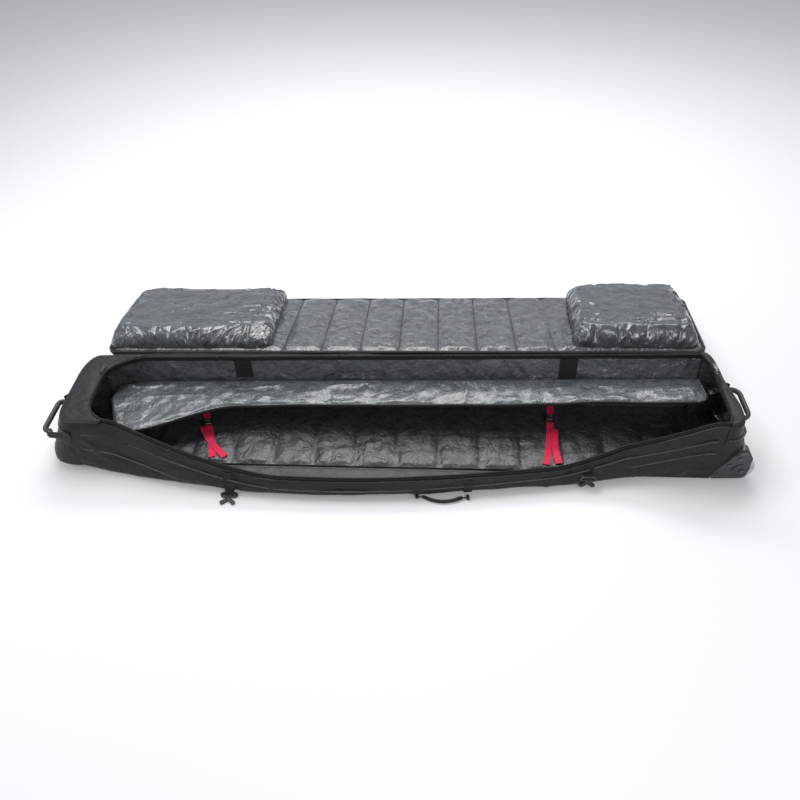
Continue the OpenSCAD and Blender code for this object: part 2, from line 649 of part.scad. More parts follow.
// Soft zipped pockets on the lid's inner face
pocket_r = 20;
left_pocket = [[-866, 46], [-412, 46], [-432, 400], [-908, 400]];    // centres of its round corners
right_pocket = [[534, 50], [850, 46], [894, 384], [566, 384]];
module lid_pocket(corners, t) {
    color("#5a626b") lid_frame() translate([0, 0, lid_n + gap]) hull() for (c = corners) {
        translate([c[0], c[1], t - pocket_r]) sphere(pocket_r, $fn = 24);
        translate([c[0], c[1], 0]) cylinder(1, r = pocket_r, $fn = 24);
    }
}
module lid_pocket_left() {
    lid_pocket(left_pocket, left_pocket_t);
}
module lid_pocket_right() {
    lid_pocket(right_pocket, right_pocket_t);
}

// Compression webbing over the lid's outer face, ending in a loop for the strap hooks
module lid_straps() {
    color("#101113") lid_frame() for (x = webbing_x)
        loft([for (w = lid_ws) if (w > lid_w0 + 20 && w < lid_w0 + lid_d - 5) let (
            n = lid_n - lid_edge_t - crown(x / lid_half(w), w) - gap)
            [[x - webbing_w / 2, w, n - 1.6], [x + webbing_w / 2, w, n - 1.6],
             [x + webbing_w / 2, w, n], [x - webbing_w / 2, w, n]]]);
}
module strap_loops() {
    color("#1b1d20") lid_frame() for (x = webbing_x)
        translate([x, lid_w0 + lid_d + 8, lid_n - lid_edge_t + 10]) difference() {
            cube([webbing_w, 5, 16], center = true);
            translate([0, 0, -2]) cube([webbing_w - 12, 7, 5], center = true);
        }
}

// Zip sliders on the tray's zip, one over each end, with a pull on each
slider_y = [70, 75];
pin_z = 5;                            // height of the pull's pin on its slider
function slider_x(i) = (i > 0 ? right_open_x + 1 : left_open_x - 1);
module at_slider(i) {
    translate([slider_x(i), slider_y[i], rim_z(slider_x(i)) + yoke_lift + yoke_t + 1.2]) children();
}
module zip_slider(i) {
    color("#2a2c30") at_slider(i) {
        translate([-5, -7, 0]) cube([10, 14, 3]);
        for (s = [-1, 1]) translate([s * 4 - 1, -1.5, 3 - eps]) cube([2, 3, pin_z - 1.8]);
        translate([-5, 0, pin_z]) rotate([0, 90, 0]) cylinder(10, r = 0.8, $fn = 24);
    }
}
pull_hole_r = 2.5;
module zip_pull(i) {
    color("#3a3d42") at_slider(i) translate([0, 0, pin_z]) difference() {
        union() {
            rotate([0, 90, 0]) cylinder(5, r = 1.6, center = true, $fn = 32);
            translate([-2.5, 0, -0.2]) cube([5, 10, 1.6]);
            translate([-5, 10, -0.2]) cube([10, 22, 1.6]);
        }
        rotate([0, 90, 0]) cylinder(7, r = 0.8 + run, center = true, $fn = 24);
        translate([0, 27, -2]) cylinder(5, r = pull_hole_r, $fn = 32);
    }
}

bottom_panel();
base_board();
skid_rails();
floor_lining();
front_wall();
back_wall();
left_end();
right_end();
left_yoke();
right_yoke();
front_lining();
back_lining();
left_end_lining();
right_end_lining();
body_zip_tape();
body_zip_teeth();
back_webbing();
wheel_guard(-1);  // wheel_guard_front
wheel_guard(1);  // wheel_guard_rear
axle(-1);  // axle_front
axle(1);  // axle_rear
guard_screws();
tyre(-1);  // tyre_front
wheel_hub(-1);  // wheel_hub_front
bearings(-1);  // bearings_front
tyre(1);  // tyre_rear
wheel_hub(1);  // wheel_hub_rear
bearings(1);  // bearings_rear
left_handle_anchors();
right_handle_anchors();
left_grip();
right_grip();
side_handle_anchors();
side_handle();
hook_webbing(0);  // hook_webbing_left
hook_webbing(1);  // hook_webbing_right
hook(0);  // hook_left
hook(1);  // hook_right
ski_strap(0);  // ski_strap_left
ski_strap(1);  // ski_strap_right
strap_buckles();
hinge_gusset();
flap_foam();
flap_cover();
flap_binding();
lid_cover();
lid_foam();
lid_lining();
lid_binding();
lid_zip_tape();
lid_zip_teeth();
lid_pocket_left();
lid_pocket_right();
lid_straps();
strap_loops();
zip_slider(0);  // zip_slider_left
zip_slider(1);  // zip_slider_right
zip_pull(0);  // zip_pull_left
zip_pull(1);  // zip_pull_right
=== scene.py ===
"""Looks of the open ski bag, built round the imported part. X runs along the bag, Y towards the lid."""
import math

import bmesh
import bpy
import numpy as np
from mathutils import Matrix, Vector
from numpy.polynomial import polynomial


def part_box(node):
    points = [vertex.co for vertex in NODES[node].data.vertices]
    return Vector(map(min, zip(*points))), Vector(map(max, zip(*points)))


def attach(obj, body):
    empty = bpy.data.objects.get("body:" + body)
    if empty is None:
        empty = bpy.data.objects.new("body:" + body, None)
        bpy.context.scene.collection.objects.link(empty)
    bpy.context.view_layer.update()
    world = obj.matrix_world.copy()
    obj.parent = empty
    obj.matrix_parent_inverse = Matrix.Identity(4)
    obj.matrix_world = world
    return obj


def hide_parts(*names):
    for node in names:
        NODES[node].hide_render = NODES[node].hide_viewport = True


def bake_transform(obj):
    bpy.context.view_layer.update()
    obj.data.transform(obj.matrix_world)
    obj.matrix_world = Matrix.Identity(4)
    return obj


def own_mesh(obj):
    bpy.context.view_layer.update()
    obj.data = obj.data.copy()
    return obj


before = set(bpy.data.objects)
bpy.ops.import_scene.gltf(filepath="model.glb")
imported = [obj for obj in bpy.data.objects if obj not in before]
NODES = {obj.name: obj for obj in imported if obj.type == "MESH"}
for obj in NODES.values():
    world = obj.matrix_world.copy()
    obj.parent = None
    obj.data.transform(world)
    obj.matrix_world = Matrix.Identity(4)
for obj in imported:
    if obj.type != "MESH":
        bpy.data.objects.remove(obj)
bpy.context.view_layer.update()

# Driving sizes, in metres, as the part has them
HALF_L, HALF_W = 0.975, 0.140
RIM_H, RIM_RISE = 0.176, 0.0195
LEFT_X, RIGHT_X = -HALF_L, HALF_L - 0.020
CORNER_R = 0.090
FLOOR_Z = 0.004
LEFT_LEAN, RIGHT_LEAN, RIGHT_LEAN_FRONT, BACK_LEAN = 0.050, 0.062, 0.046, 0.018
SLUMP, FALLEN_H = 0.101, 0.056
WALL_T = 0.005
LID_D, LID_HINGE_L, LID_FREE_L = 0.422, 1.780, 1.880
LID_W0, LID_N, LID_R = 0.010, -0.014, 0.040
LID_EDGE_T, LID_CROWN = 0.036, 0.037
DROOP = math.radians(14)
WEB_W = 0.050
CHANNEL_PITCH, LID_CHANNEL_X, LID_CHANNELS = 0.117, -0.3575, 7
CORNER_L, CORNER_X, CORNER_Y = LEFT_X + CORNER_R, RIGHT_X - CORNER_R, HALF_W - CORNER_R
WEBBING_X = (-0.477 * HALF_L, 0.503 * HALF_L)


def place(name, data):
    """Puts an object with this data in the scene."""
    obj = bpy.data.objects.new(name, data)
    bpy.context.scene.collection.objects.link(obj)
    return obj


# ---------------------------------------------------------------- camera
def make_camera():
    data = bpy.data.cameras.new("camera")
    data.sensor_width, data.lens = 36.0, 33.03
    data.clip_start, data.clip_end = 0.05, 50
    cam = place("camera", data)
    pitch, yaw, roll = math.radians(43.42), math.radians(3.01), math.radians(-1.01)
    fwd = Vector((-math.sin(yaw) * math.cos(pitch), math.cos(yaw) * math.cos(pitch), -math.sin(pitch)))
    right = Vector((math.cos(yaw), math.sin(yaw), 0))
    up = right.cross(fwd)
    r = right * math.cos(roll) + up * math.sin(roll)
    u = -right * math.sin(roll) + up * math.cos(roll)
    rot = Matrix((r, u, -fwd)).transposed().to_4x4()
    cam.matrix_world = Matrix.Translation((0.084, -1.488, 1.555)) @ rot
    bpy.context.scene.camera = cam


make_camera()


# ---------------------------------------------------------------- noise and crumple
def lattice(ix, iy, iz, seed):
    h = (ix * 374761393 + iy * 668265263 + iz * 1440670441 + seed * 974634777) & 0xFFFFFFFF
    h = ((h ^ (h >> 13)) * 1274126177) & 0xFFFFFFFF
    return ((h ^ (h >> 16)) & 0xFFFF) / 32767.5 - 1.0


def noise3(p, seed=0):
    """Smooth value noise from -1 to 1 at points p, one unit to a cell."""
    p = np.asarray(p, float)
    i = np.floor(p).astype(np.int64)
    f = p - i
    f = f * f * f * (f * (f * 6 - 15) + 10)
    total = 0
    for dx in (0, 1):
        for dy in (0, 1):
            for dz in (0, 1):
                w = (f[..., 0] if dx else 1 - f[..., 0]) * (f[..., 1] if dy else 1 - f[..., 1])
                w = w * (f[..., 2] if dz else 1 - f[..., 2])
                total = total + w * lattice(i[..., 0] + dx, i[..., 1] + dy, i[..., 2] + dz, seed)
    return total


def planar(a, b, k=0.0):
    return np.stack([a, b, np.full_like(a, k)], axis=-1)


def smooth(t):
    t = np.clip(t, 0, 1)
    return t * t * (3 - 2 * t)


def mix(a, b, t):
    return a + (b - a) * t


def crumple(a, b, pitch, seed, waves=7, stretch=1.0):
    """Creased-foil height from about -1 to 1 over a plane with coordinates a and b in metres."""
    rng = np.random.RandomState(seed)
    total, weight = 0.0, 0.0
    for k in range(waves):
        ang = rng.uniform(0, math.pi)
        freq = rng.uniform(0.6, 1.5) / pitch
        warp = 0.55 * noise3(planar(a * freq * 0.35, b * freq * 0.35, k * 3.7), seed + k)
        t = (a * math.cos(ang) / stretch + b * math.sin(ang)) * freq + warp + rng.uniform(0, 1)
        tri = 1 - 2 * np.abs((t % 1.0) - 0.5) * 2
        mask = smooth(0.5 + 0.9 * noise3(planar(a * freq * 0.3, b * freq * 0.3, 9.1 * k), seed + 50 + k))
        amp = 1 / (freq * pitch)
        total = total + tri * mask * amp
        weight += 0.36 * amp * math.sqrt(waves) / waves * 2.2
    return np.clip(total / max(weight, 1e-6) / 1.6, -1.4, 1.4)


# ---------------------------------------------------------------- mesh helpers
def shade(mesh, sharp=0):
    """Smooth shading, broken at edges sharper than this angle in degrees, if one is given."""
    mesh.polygons.foreach_set("use_smooth", [True] * len(mesh.polygons))
    if sharp:
        mesh.set_sharp_from_angle(angle=math.radians(sharp))


def bevel(obj, width, segments, angle):
    mod = obj.modifiers.new("edges", "BEVEL")
    mod.width, mod.segments = width, segments
    mod.limit_method, mod.angle_limit = "ANGLE", math.radians(angle)
    return mod


def add_mesh(name, verts, faces, mat, body, nodes=(), sharp=35):
    mesh = bpy.data.meshes.new(name)
    mesh.from_pydata([tuple(v) for v in verts], [], faces)
    mesh.validate()
    shade(mesh, sharp)
    return dress(place(name, mesh), mat, body, nodes)


def dress(obj, mat, body, nodes=()):
    """Gives a piece its material and its body, and hides the CAD nodes it stands for."""
    obj.data.materials.clear()
    obj.data.materials.append(mat)
    if body:
        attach(obj, body)
    if nodes:
        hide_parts(*nodes)
    return obj


def shell_faces(nu, nv, closed_u=False):
    """Faces of two stacked grids of nu by nv points joined round their borders."""
    faces, n = [], nu * nv
    spans = nu if closed_u else nu - 1
    for i in range(spans):
        i2 = (i + 1) % nu
        for j in range(nv - 1):
            a, b, c, d = i * nv + j, i * nv + j + 1, i2 * nv + j + 1, i2 * nv + j
            faces.append((a, d, c, b))
            faces.append((n + a, n + b, n + c, n + d))
        for j in (0, nv - 1):
            a, d = i * nv + j, i2 * nv + j
            faces.append((a, n + a, n + d, d) if j == 0 else (a, d, n + d, n + a))
    if not closed_u:
        for i in (0, nu - 1):
            for j in range(nv - 1):
                a, b = i * nv + j, i * nv + j + 1
                faces.append((a, b, n + b, n + a) if i == 0 else (a, n + a, n + b, b))
    return faces


def add_shell(name, outer, inner, mat, body, nodes=(), closed_u=False, sharp=50):
    nu, nv = outer.shape[:2]
    verts = np.concatenate([outer.reshape(-1, 3), inner.reshape(-1, 3)])
    obj = add_mesh(name, verts, shell_faces(nu, nv, closed_u), mat, body, nodes, sharp)
    fix_normals(obj)
    return obj


def fix_normals(obj):
    bm = bmesh.new()
    bm.from_mesh(obj.data)
    bmesh.ops.recalc_face_normals(bm, faces=bm.faces)
    bm.to_mesh(obj.data)
    bm.free()


def frames_along(path, closed):
    """Tangent, side and up directions along a path, with up kept near +Z."""
    path = np.asarray(path, float)
    if closed:
        t = np.roll(path, -1, axis=0) - np.roll(path, 1, axis=0)
    else:
        t = np.gradient(path, axis=0)
    t /= np.maximum(np.linalg.norm(t, axis=1, keepdims=True), 1e-12)
    side = np.cross(t, (0, 0, 1.0))
    bad = np.linalg.norm(side, axis=1) < 0.05
    side[bad] = np.cross(t[bad], (0, 1.0, 0))
    side /= np.linalg.norm(side, axis=1, keepdims=True)
    return t, side, np.cross(side, t)


def sweep(name, path, section, mat, body, nodes=(), closed=False, sharp=40, scale=None):
    """Sweeps a closed section of (side, up) points along a path."""
    path = np.asarray(path, float)
    _, side, up = frames_along(path, closed)
    sec = np.asarray(section, float)
    k = np.ones(len(path)) if scale is None else scale
    spread = side[:, None] * sec[None, :, :1] + up[:, None] * sec[None, :, 1:]
    rings = path[:, None] + k[:, None, None] * spread
    faces = ring_faces(len(path), len(sec), closed)
    obj = add_mesh(name, rings.reshape(-1, 3), faces, mat, body, nodes, sharp)
    fix_normals(obj)
    return obj


def circle(r, n=10, flat=1.0):
    return [(r * math.cos(2 * math.pi * k / n), r * flat * math.sin(2 * math.pi * k / n)) for k in range(n)]


def run_length(path):
    """Distance along a path to each of its points."""
    return np.r_[0, np.cumsum(np.linalg.norm(np.diff(path, axis=0), axis=1))]


def ring_faces(n, m, closed=False, base=0):
    """Faces between n rings of m points, the first point being base, with the ends shut unless closed."""
    faces = [(i * m + j, i * m + (j + 1) % m, (i + 1) % n * m + (j + 1) % m, (i + 1) % n * m + j)
             for i in range(n if closed else n - 1) for j in range(m)]
    if not closed:
        faces += [tuple(range(m))[::-1], tuple((n - 1) * m + j for j in range(m))]
    return [tuple(base + k for k in face) for face in faces]


def resample(path, step, closed=False):
    path = np.asarray(path, float)
    if closed:
        path = np.vstack([path, path[:1]])
    d = run_length(path)
    n = max(3, int(round(d[-1] / step)))
    s = np.linspace(0, d[-1], n + 1)
    if closed:
        s = s[:-1]
    return np.stack([np.interp(s, d, path[:, k]) for k in range(3)], axis=1)


# ---------------------------------------------------------------- materials
class Tree:
    """Short forms for a material's nodes."""

    def __init__(self, name, rough=0.6, specular=0.5, metallic=0.0, sheen=0.0, coat=0.0, coat_rough=0.2):
        self.mat = bpy.data.materials.new(name)
        self.mat.use_nodes = True
        self.nodes, self.links = self.mat.node_tree.nodes, self.mat.node_tree.links
        self.bsdf = self.nodes["Principled BSDF"]
        self.set(self.bsdf, {"Roughness": rough, "Specular IOR Level": specular, "Metallic": metallic,
                             "Sheen Weight": sheen, "Coat Weight": coat, "Coat Roughness": coat_rough})

    def set(self, node, inputs):
        for key, value in inputs.items():
            if isinstance(value, bpy.types.NodeSocket):
                self.links.new(value, node.inputs[key])
            else:
                node.inputs[key].default_value = value
        return node

    def add(self, kind, inputs=None, **props):
        node = self.nodes.new("ShaderNode" + kind)
        for key, value in props.items():
            setattr(node, key, value)
        return self.set(node, inputs or {})

    def coords(self, scale=(1, 1, 1), uv=False):
        src = self.add("TexCoord").outputs["UV" if uv else "Object"]
        return self.add("Mapping", {"Vector": src, "Scale": scale}).outputs["Vector"]

    def noise(self, vec, scale, detail=2.0, rough=0.5, distort=0.0):
        node = self.add("TexNoise", {"Vector": vec, "Scale": scale, "Detail": detail,
                                     "Roughness": rough, "Distortion": distort})
        return node.outputs["Fac"]

    def cells(self, vec, scale):
        node = self.add("TexVoronoi", {"Vector": vec, "Scale": scale}, feature="DISTANCE_TO_EDGE")
        return node.outputs["Distance"]

    def wave(self, vec, period, direction):
        """Smooth bands that repeat every period metres."""
        node = self.add("TexWave", {"Vector": vec, "Scale": math.pi / period / 10, "Distortion": 0.0},
                        bands_direction=direction, wave_profile="SIN")
        return node.outputs["Fac"]

    def math(self, op, a, b=0.0):
        return self.add("Math", {0: a, 1: b}, operation=op).outputs[0]

    def ramp(self, fac, lo, hi, a=0.0, b=1.0):
        span = {"Value": fac, "From Min": lo, "From Max": hi, "To Min": a, "To Max": b}
        return self.add("MapRange", span).outputs["Result"]

    def blend(self, fac, a, b):
        node = self.add("Mix", data_type="RGBA", blend_type="MIX")
        for socket, value in ((node.inputs[0], fac), (node.inputs[6], a), (node.inputs[7], b)):
            if isinstance(value, bpy.types.NodeSocket):
                self.links.new(value, socket)
            else:
                socket.default_value = value if socket == node.inputs[0] else (*value, 1)
        return node.outputs[2]

    def bump(self, height, distance, strength=1.0, after=None):
        inputs = {"Height": height, "Distance": distance, "Strength": strength}
        if after is not None:
            inputs["Normal"] = after
        return self.add("Bump", inputs).outputs["Normal"]

    def done(self, color=None, rough=None, normal=None):
        for key, value in (("Base Color", color), ("Roughness", rough), ("Normal", normal)):
            if value is None:
                continue
            if key == "Base Color" and not isinstance(value, bpy.types.NodeSocket):
                value = (*value, 1)
            self.set(self.bsdf, {key: value})
        return self.mat


RIPSTOP_CELL = 0.006


def brighter(color, times, plus=0.0):
    return tuple(min(1, times * c + plus) for c in color)


def ripstop(name, dark, light):
    """Matt woven shell fabric with a raised grid every few millimetres."""
    t = Tree(name, specular=0.24, sheen=0.03)
    v = t.coords(uv=True)
    lines = [t.ramp(t.wave(v, RIPSTOP_CELL, d), 0.86, 0.98) for d in ("X", "Y")]
    grid = t.math("MAXIMUM", lines[0], lines[1])
    blotch = t.noise(t.coords(), 9.0, 4.0, 0.6)
    fine = t.noise(t.coords(), 900.0, 2.0)
    crease = t.math("ABSOLUTE", t.math("SUBTRACT", t.noise(t.coords(), 26.0, 3.0, 0.5, 0.6), 0.5))
    col = t.blend(t.ramp(blotch, 0.3, 0.75), dark, light)
    col = t.blend(t.math("MULTIPLY", grid, 0.38), col, brighter(light, 2.0))
    col = t.blend(t.math("MULTIPLY", t.ramp(fine, 0.35, 0.7), 0.25), col, brighter(dark, 0.5))
    rough = t.ramp(t.math("ADD", blotch, t.math("MULTIPLY", grid, 0.2)), 0.2, 1.0, 0.40, 0.62)
    n = t.bump(t.ramp(crease, 0.0, 0.16), 0.0022, 0.55)
    n = t.bump(grid, 0.0003, 0.6, n)
    n = t.bump(fine, 0.00018, 0.5, n)
    return t.done(col, rough, n)


def coated(name, dark, light, rough, crinkle, scale, coat):
    """Shiny coated lining that holds sharp little creases: their depth, and how many to a metre."""
    t = Tree(name, specular=0.62, coat=coat, coat_rough=0.22)
    v = t.coords()
    cloud = t.add("TexNoise", {"Vector": v, "Scale": 24.0, "Detail": 3.0}).outputs["Color"]
    warp = t.add("MixRGB", {"Fac": 0.022, "Color1": v, "Color2": cloud}, blend_type="ADD").outputs[0]
    big = t.ramp(t.cells(warp, scale * 0.55), 0.0, 0.35)
    small = t.ramp(t.cells(warp, scale * 1.7), 0.0, 0.30)
    ridge = t.math("ABSOLUTE", t.math("SUBTRACT", t.noise(v, scale * 0.9, 4.0, 0.62, 0.8), 0.5))
    ridge = t.ramp(ridge, 0.0, 0.14)
    blotch = t.noise(v, 14.0, 5.0, 0.62)
    fine = t.noise(v, 1400.0, 1.0)
    col = t.blend(t.ramp(blotch, 0.3, 0.72), dark, light)
    # Painted highlight: the thin crease lines are painted a lighter grey, standing in for the glints along them
    col = t.blend(t.math("MULTIPLY", t.math("SUBTRACT", 1.0, ridge), 0.32), col, brighter(light, 1.9))
    r = t.ramp(t.math("ADD", blotch, t.math("MULTIPLY", fine, 0.25)), 0.3, 0.95, *rough)
    n = t.bump(big, 0.0042 * crinkle, 0.75)
    n = t.bump(ridge, 0.0016 * crinkle, 0.7, n)
    n = t.bump(small, 0.0011 * crinkle, 0.6, n)
    n = t.bump(fine, 0.0001, 0.4, n)
    return t.done(col, r, n)


def woven(name, dark, light, rib=0.0022, along="X", gloss=0.55):
    """Webbing or tape: ribs across a diagonal weave."""
    t = Tree(name, rough=gloss, specular=0.28, sheen=0.05)
    v = t.coords()
    ribs = t.wave(v, rib, along)
    twill = t.wave(v, 0.7 * rib, "DIAGONAL")
    wear = t.noise(t.coords(), 60.0, 4.0, 0.6)
    fine = t.noise(t.coords(), 2200.0, 1.0)
    weave = t.math("MULTIPLY", ribs, twill)
    col = t.blend(t.ramp(t.math("ADD", weave, t.math("MULTIPLY", wear, 0.5)), 0.2, 1.2), dark, light)
    n = t.bump(weave, 0.0005, 0.7)
    n = t.bump(fine, 0.00012, 0.5, n)
    return t.done(col, t.ramp(wear, 0.2, 0.9, gloss - 0.08, gloss + 0.16), n)


def plastic(name, dark, light, rough, grain=700.0, coat=0.0, depth=0.0001):
    """Moulded plastic, rubber or lacquer with a fine grain and rubbed patches."""
    t = Tree(name, coat=coat)
    v = t.coords()
    rubbed = t.noise(v, 38.0, 5.0, 0.6)
    fine = t.noise(v, grain, 3.0)
    scuff = t.ramp(t.noise(t.coords((1, 1, 9)), 120.0, 2.0, 0.5, 1.5), 0.66, 0.72)
    col = t.blend(t.ramp(rubbed, 0.3, 0.7), dark, light)
    col = t.blend(t.math("MULTIPLY", scuff, 0.18), col, brighter(light, 1.8, 0.01))
    r = t.ramp(t.math("ADD", rubbed, t.math("MULTIPLY", scuff, 0.4)), 0.25, 1.0, *rough)
    n = t.bump(fine, depth, 0.6)
    return t.done(col, r, n)


def brushed(name, color, rough=0.32):
    t = Tree(name, metallic=1.0)
    ring = t.noise(t.coords((1, 14, 1)), 900.0, 2.0)
    wear = t.noise(t.coords(), 90.0, 4.0)
    col = t.blend(t.ramp(wear, 0.3, 0.7), brighter(color, 0.75), color)
    return t.done(col, t.ramp(ring, 0.2, 0.8, rough - 0.08, rough + 0.14), t.bump(ring, 0.00005, 0.4))


RIPSTOP = ripstop("ripstop", (0.007, 0.008, 0.0095), (0.017, 0.018, 0.021))
LINING = coated("lining", (0.024, 0.028, 0.032), (0.052, 0.060, 0.067), (0.20, 0.38), 0.85, 38, 0.45)
LINING_PALE = coated("lining_pale", (0.022, 0.026, 0.030), (0.050, 0.058, 0.065), (0.18, 0.34), 0.65, 24, 0.55)
LINING_DARK = coated("lining_dark", (0.010, 0.012, 0.014), (0.026, 0.030, 0.034), (0.16, 0.34), 1.0, 30, 0.6)
LINING_BACK = coated("lining_back", (0.026, 0.030, 0.034), (0.060, 0.068, 0.076), (0.14, 0.32), 1.1, 30, 0.6)
FRONT_LINING = coated("front_lining", (0.006, 0.007, 0.008), (0.014, 0.015, 0.018), (0.50, 0.70), 0.5, 34, 0.02)
# Painted light: the flap is the same coated lining, set lighter than the lid's lining to make up for the lid's
# shade over it
FLAP_LINING_PAINTED_LIGHT = coated("flap_lining_painted_light", (0.034, 0.039, 0.044), (0.070, 0.080, 0.088), (0.24, 0.40), 0.65, 38, 0.45)
FLOOR_QUILT = coated("floor_quilt", (0.008, 0.009, 0.011), (0.020, 0.021, 0.025), (0.34, 0.56), 0.7, 34, 0.1)
WEBBING = woven("webbing", (0.004, 0.004, 0.005), (0.014, 0.014, 0.016))
PINK = woven("pink_webbing", (0.40, 0.004, 0.035), (0.66, 0.014, 0.075), rib=0.0016, along="Y", gloss=0.5)
TAPE = woven("tape", (0.004, 0.004, 0.005), (0.012, 0.012, 0.014), rib=0.0012)
# The piping's own colour is dark; part of its lighter grey is a painted highlight that makes its line show
PIPING = plastic("piping", (0.020, 0.021, 0.023), (0.042, 0.044, 0.048), (0.22, 0.38), 900, coat=0.4)
COIL = plastic("coil", (0.010, 0.010, 0.011), (0.022, 0.022, 0.024), (0.25, 0.4), 1500)
RAIL = plastic("rail", (0.010, 0.010, 0.011), (0.020, 0.020, 0.022), (0.45, 0.7))
TARP = plastic("tarpaulin", (0.012, 0.013, 0.014), (0.024, 0.025, 0.027), (0.4, 0.62), 260, depth=0.0003)
BOARD = plastic("board", (0.03, 0.03, 0.03), (0.05, 0.05, 0.05), (0.6, 0.8))
GUARD = plastic("guard", (0.020, 0.023, 0.027), (0.038, 0.043, 0.049), (0.42, 0.6), 1100, depth=0.00014)
TYRE = plastic("tyre", (0.30, 0.33, 0.35), (0.46, 0.49, 0.51), (0.25, 0.42), 500, coat=0.2)
HUB = plastic("hub", (0.035, 0.038, 0.043), (0.060, 0.064, 0.070), (0.4, 0.55))
GRIP = plastic("grip", (0.014, 0.017, 0.016), (0.030, 0.034, 0.032), (0.5, 0.68), 900, depth=0.0002)
BUCKLE = plastic("buckle", (0.007, 0.008, 0.009), (0.016, 0.017, 0.019), (0.28, 0.45))
SLIDER = plastic("slider", (0.014, 0.014, 0.016), (0.030, 0.030, 0.033), (0.25, 0.42), coat=0.5)
THREAD = plastic("thread", (0.016, 0.017, 0.019), (0.032, 0.034, 0.037), (0.6, 0.8), 3000)
STEEL = brushed("steel", (0.13, 0.132, 0.138))
BEARING = brushed("bearing", (0.50, 0.51, 0.52), 0.22)


# ---------------------------------------------------------------- shape of the tray
SLUMP_X = -0.2 * HALF_L


def rim_z(x):
    return RIM_H + RIM_RISE * x


def bulge(x):
    left = np.cos(np.clip(math.pi / 2 * (SLUMP_X - x) / (0.8 * HALF_L), 0, math.pi / 2))
    right = np.cos(np.clip(math.pi / 2 * (x - SLUMP_X) / (1.07 * HALF_L), 0, math.pi / 2)) ** 1.5
    return SLUMP * np.where(x < SLUMP_X, left, right)


def fall(x):
    t = np.clip(np.minimum((x + 0.81 * HALF_L) / 0.47, (0.85 * HALF_L - x) / 0.41), 0, 1)
    return 1 - (1 - t) ** 1.5


def front_rim_z(x):
    return mix(rim_z(x), FALLEN_H, fall(x))


def front_rim_y(x):
    hang = 0.010 - HALF_W - bulge(x) + 0.42 * (front_rim_z(x) - FALLEN_H)
    return np.minimum(0.008 - HALF_W, hang)


def back_rim_y(x):
    return HALF_W + BACK_LEAN + 0.010 * x


def front_section(x):
    b = bulge(x)
    shoulder = mix(0.045, FLOOR_Z, np.clip(b / 0.035, 0, 1))
    return np.array([[0, FLOOR_Z], [b, shoulder], [-front_rim_y(x) - HALF_W, front_rim_z(x)]], float)


def back_section(x):
    return np.array([[0, FLOOR_Z], [0.005, 0.35 * rim_z(x)], [back_rim_y(x) - HALF_W, rim_z(x)]])


LEFT_SECTION = np.array([[0, FLOOR_Z], [0.002, 0.045], [-LEFT_LEAN, rim_z(LEFT_X)]])


def right_section(y):
    lean = mix(RIGHT_LEAN_FRONT, RIGHT_LEAN, np.clip(y / (2 * CORNER_Y) + 0.5, 0, 1))
    return np.array([[0, FLOOR_Z], [0.002, 0.045], [-lean, rim_z(RIGHT_X)]])


def front_station(x):
    return np.array([x, -HALF_W]), np.array([0, -1.0]), front_section(x)


def back_station(x):
    return np.array([x, HALF_W]), np.array([0, 1.0]), back_section(x)


def corner(cx, cy, a0, s0, s1, square, steps):
    """A corner, a superellipse in plan: square holds its exponents at foot, shoulder and rim."""
    out = []
    e = np.array(square)
    for i in range(1, steps):
        b = math.pi / 2 * i / steps
        a = math.radians(a0) + b
        d = np.array([math.cos(a), math.sin(a)])
        section = mix(s0, s1, smooth(i / steps))
        r0, r1 = CORNER_R + s0[:, 0], CORNER_R + s1[:, 0]
        r = ((math.cos(b) / r0) ** e + (math.sin(b) / r1) ** e) ** (-1 / e)
        section[:, 0] = r - CORNER_R
        out.append((np.array([cx, cy]) + CORNER_R * d, d, section))
    return out


def straight_end(x, side, section, ys):
    return [(np.array([x, y]), np.array([side, 0.0]), section(y)) for y in ys]


def make_stations(step):
    nf = int((CORNER_X - CORNER_L) / step)
    nc = max(6, int(math.pi / 2 * CORNER_R / step))
    ne = max(3, int(2 * CORNER_Y / step))
    front = [front_station(x) for x in np.linspace(CORNER_L, CORNER_X, nf)]
    back = [back_station(x) for x in np.linspace(CORNER_X, CORNER_L, nf)]
    right = ([front[-1]]
             + corner(CORNER_X, -CORNER_Y, -90, front[-1][2], right_section(-CORNER_Y), (4, 4, 3.5), nc)
             + straight_end(RIGHT_X, 1.0, right_section, np.linspace(-CORNER_Y, CORNER_Y, ne))
             + corner(CORNER_X, CORNER_Y, 0, right_section(CORNER_Y), back[0][2], (3, 3, 3), nc)
             + [back[0]])
    left = ([back[-1]] + corner(CORNER_L, CORNER_Y, 90, back[-1][2], LEFT_SECTION, (2.4, 2.4, 2.2), nc)
            + straight_end(LEFT_X, -1.0, lambda y: LEFT_SECTION, np.linspace(CORNER_Y, -CORNER_Y, ne))
            + corner(CORNER_L, -CORNER_Y, 180, LEFT_SECTION, front[0][2], (4, 3.4, 2.2), nc) + [front[0]])
    return {"front": front, "right": right, "back": back, "left": left}


def profile(section, m):
    """The section's line with its shoulder rounded, at m even steps, and its length."""
    s0, s1, s2 = section
    a, b = s0 + 0.6 * (s1 - s0), s1 + 0.45 * (s2 - s1)
    t = np.linspace(0, 1, 14)[:, None]
    line = np.vstack([s0[None], (1 - t) ** 2 * a + 2 * t * (1 - t) * s1 + t ** 2 * b, s2[None]])
    d = run_length(line)
    s = np.linspace(0, d[-1], m)
    return np.stack([np.interp(s, d, line[:, 0]), np.interp(s, d, line[:, 1])], axis=1), s


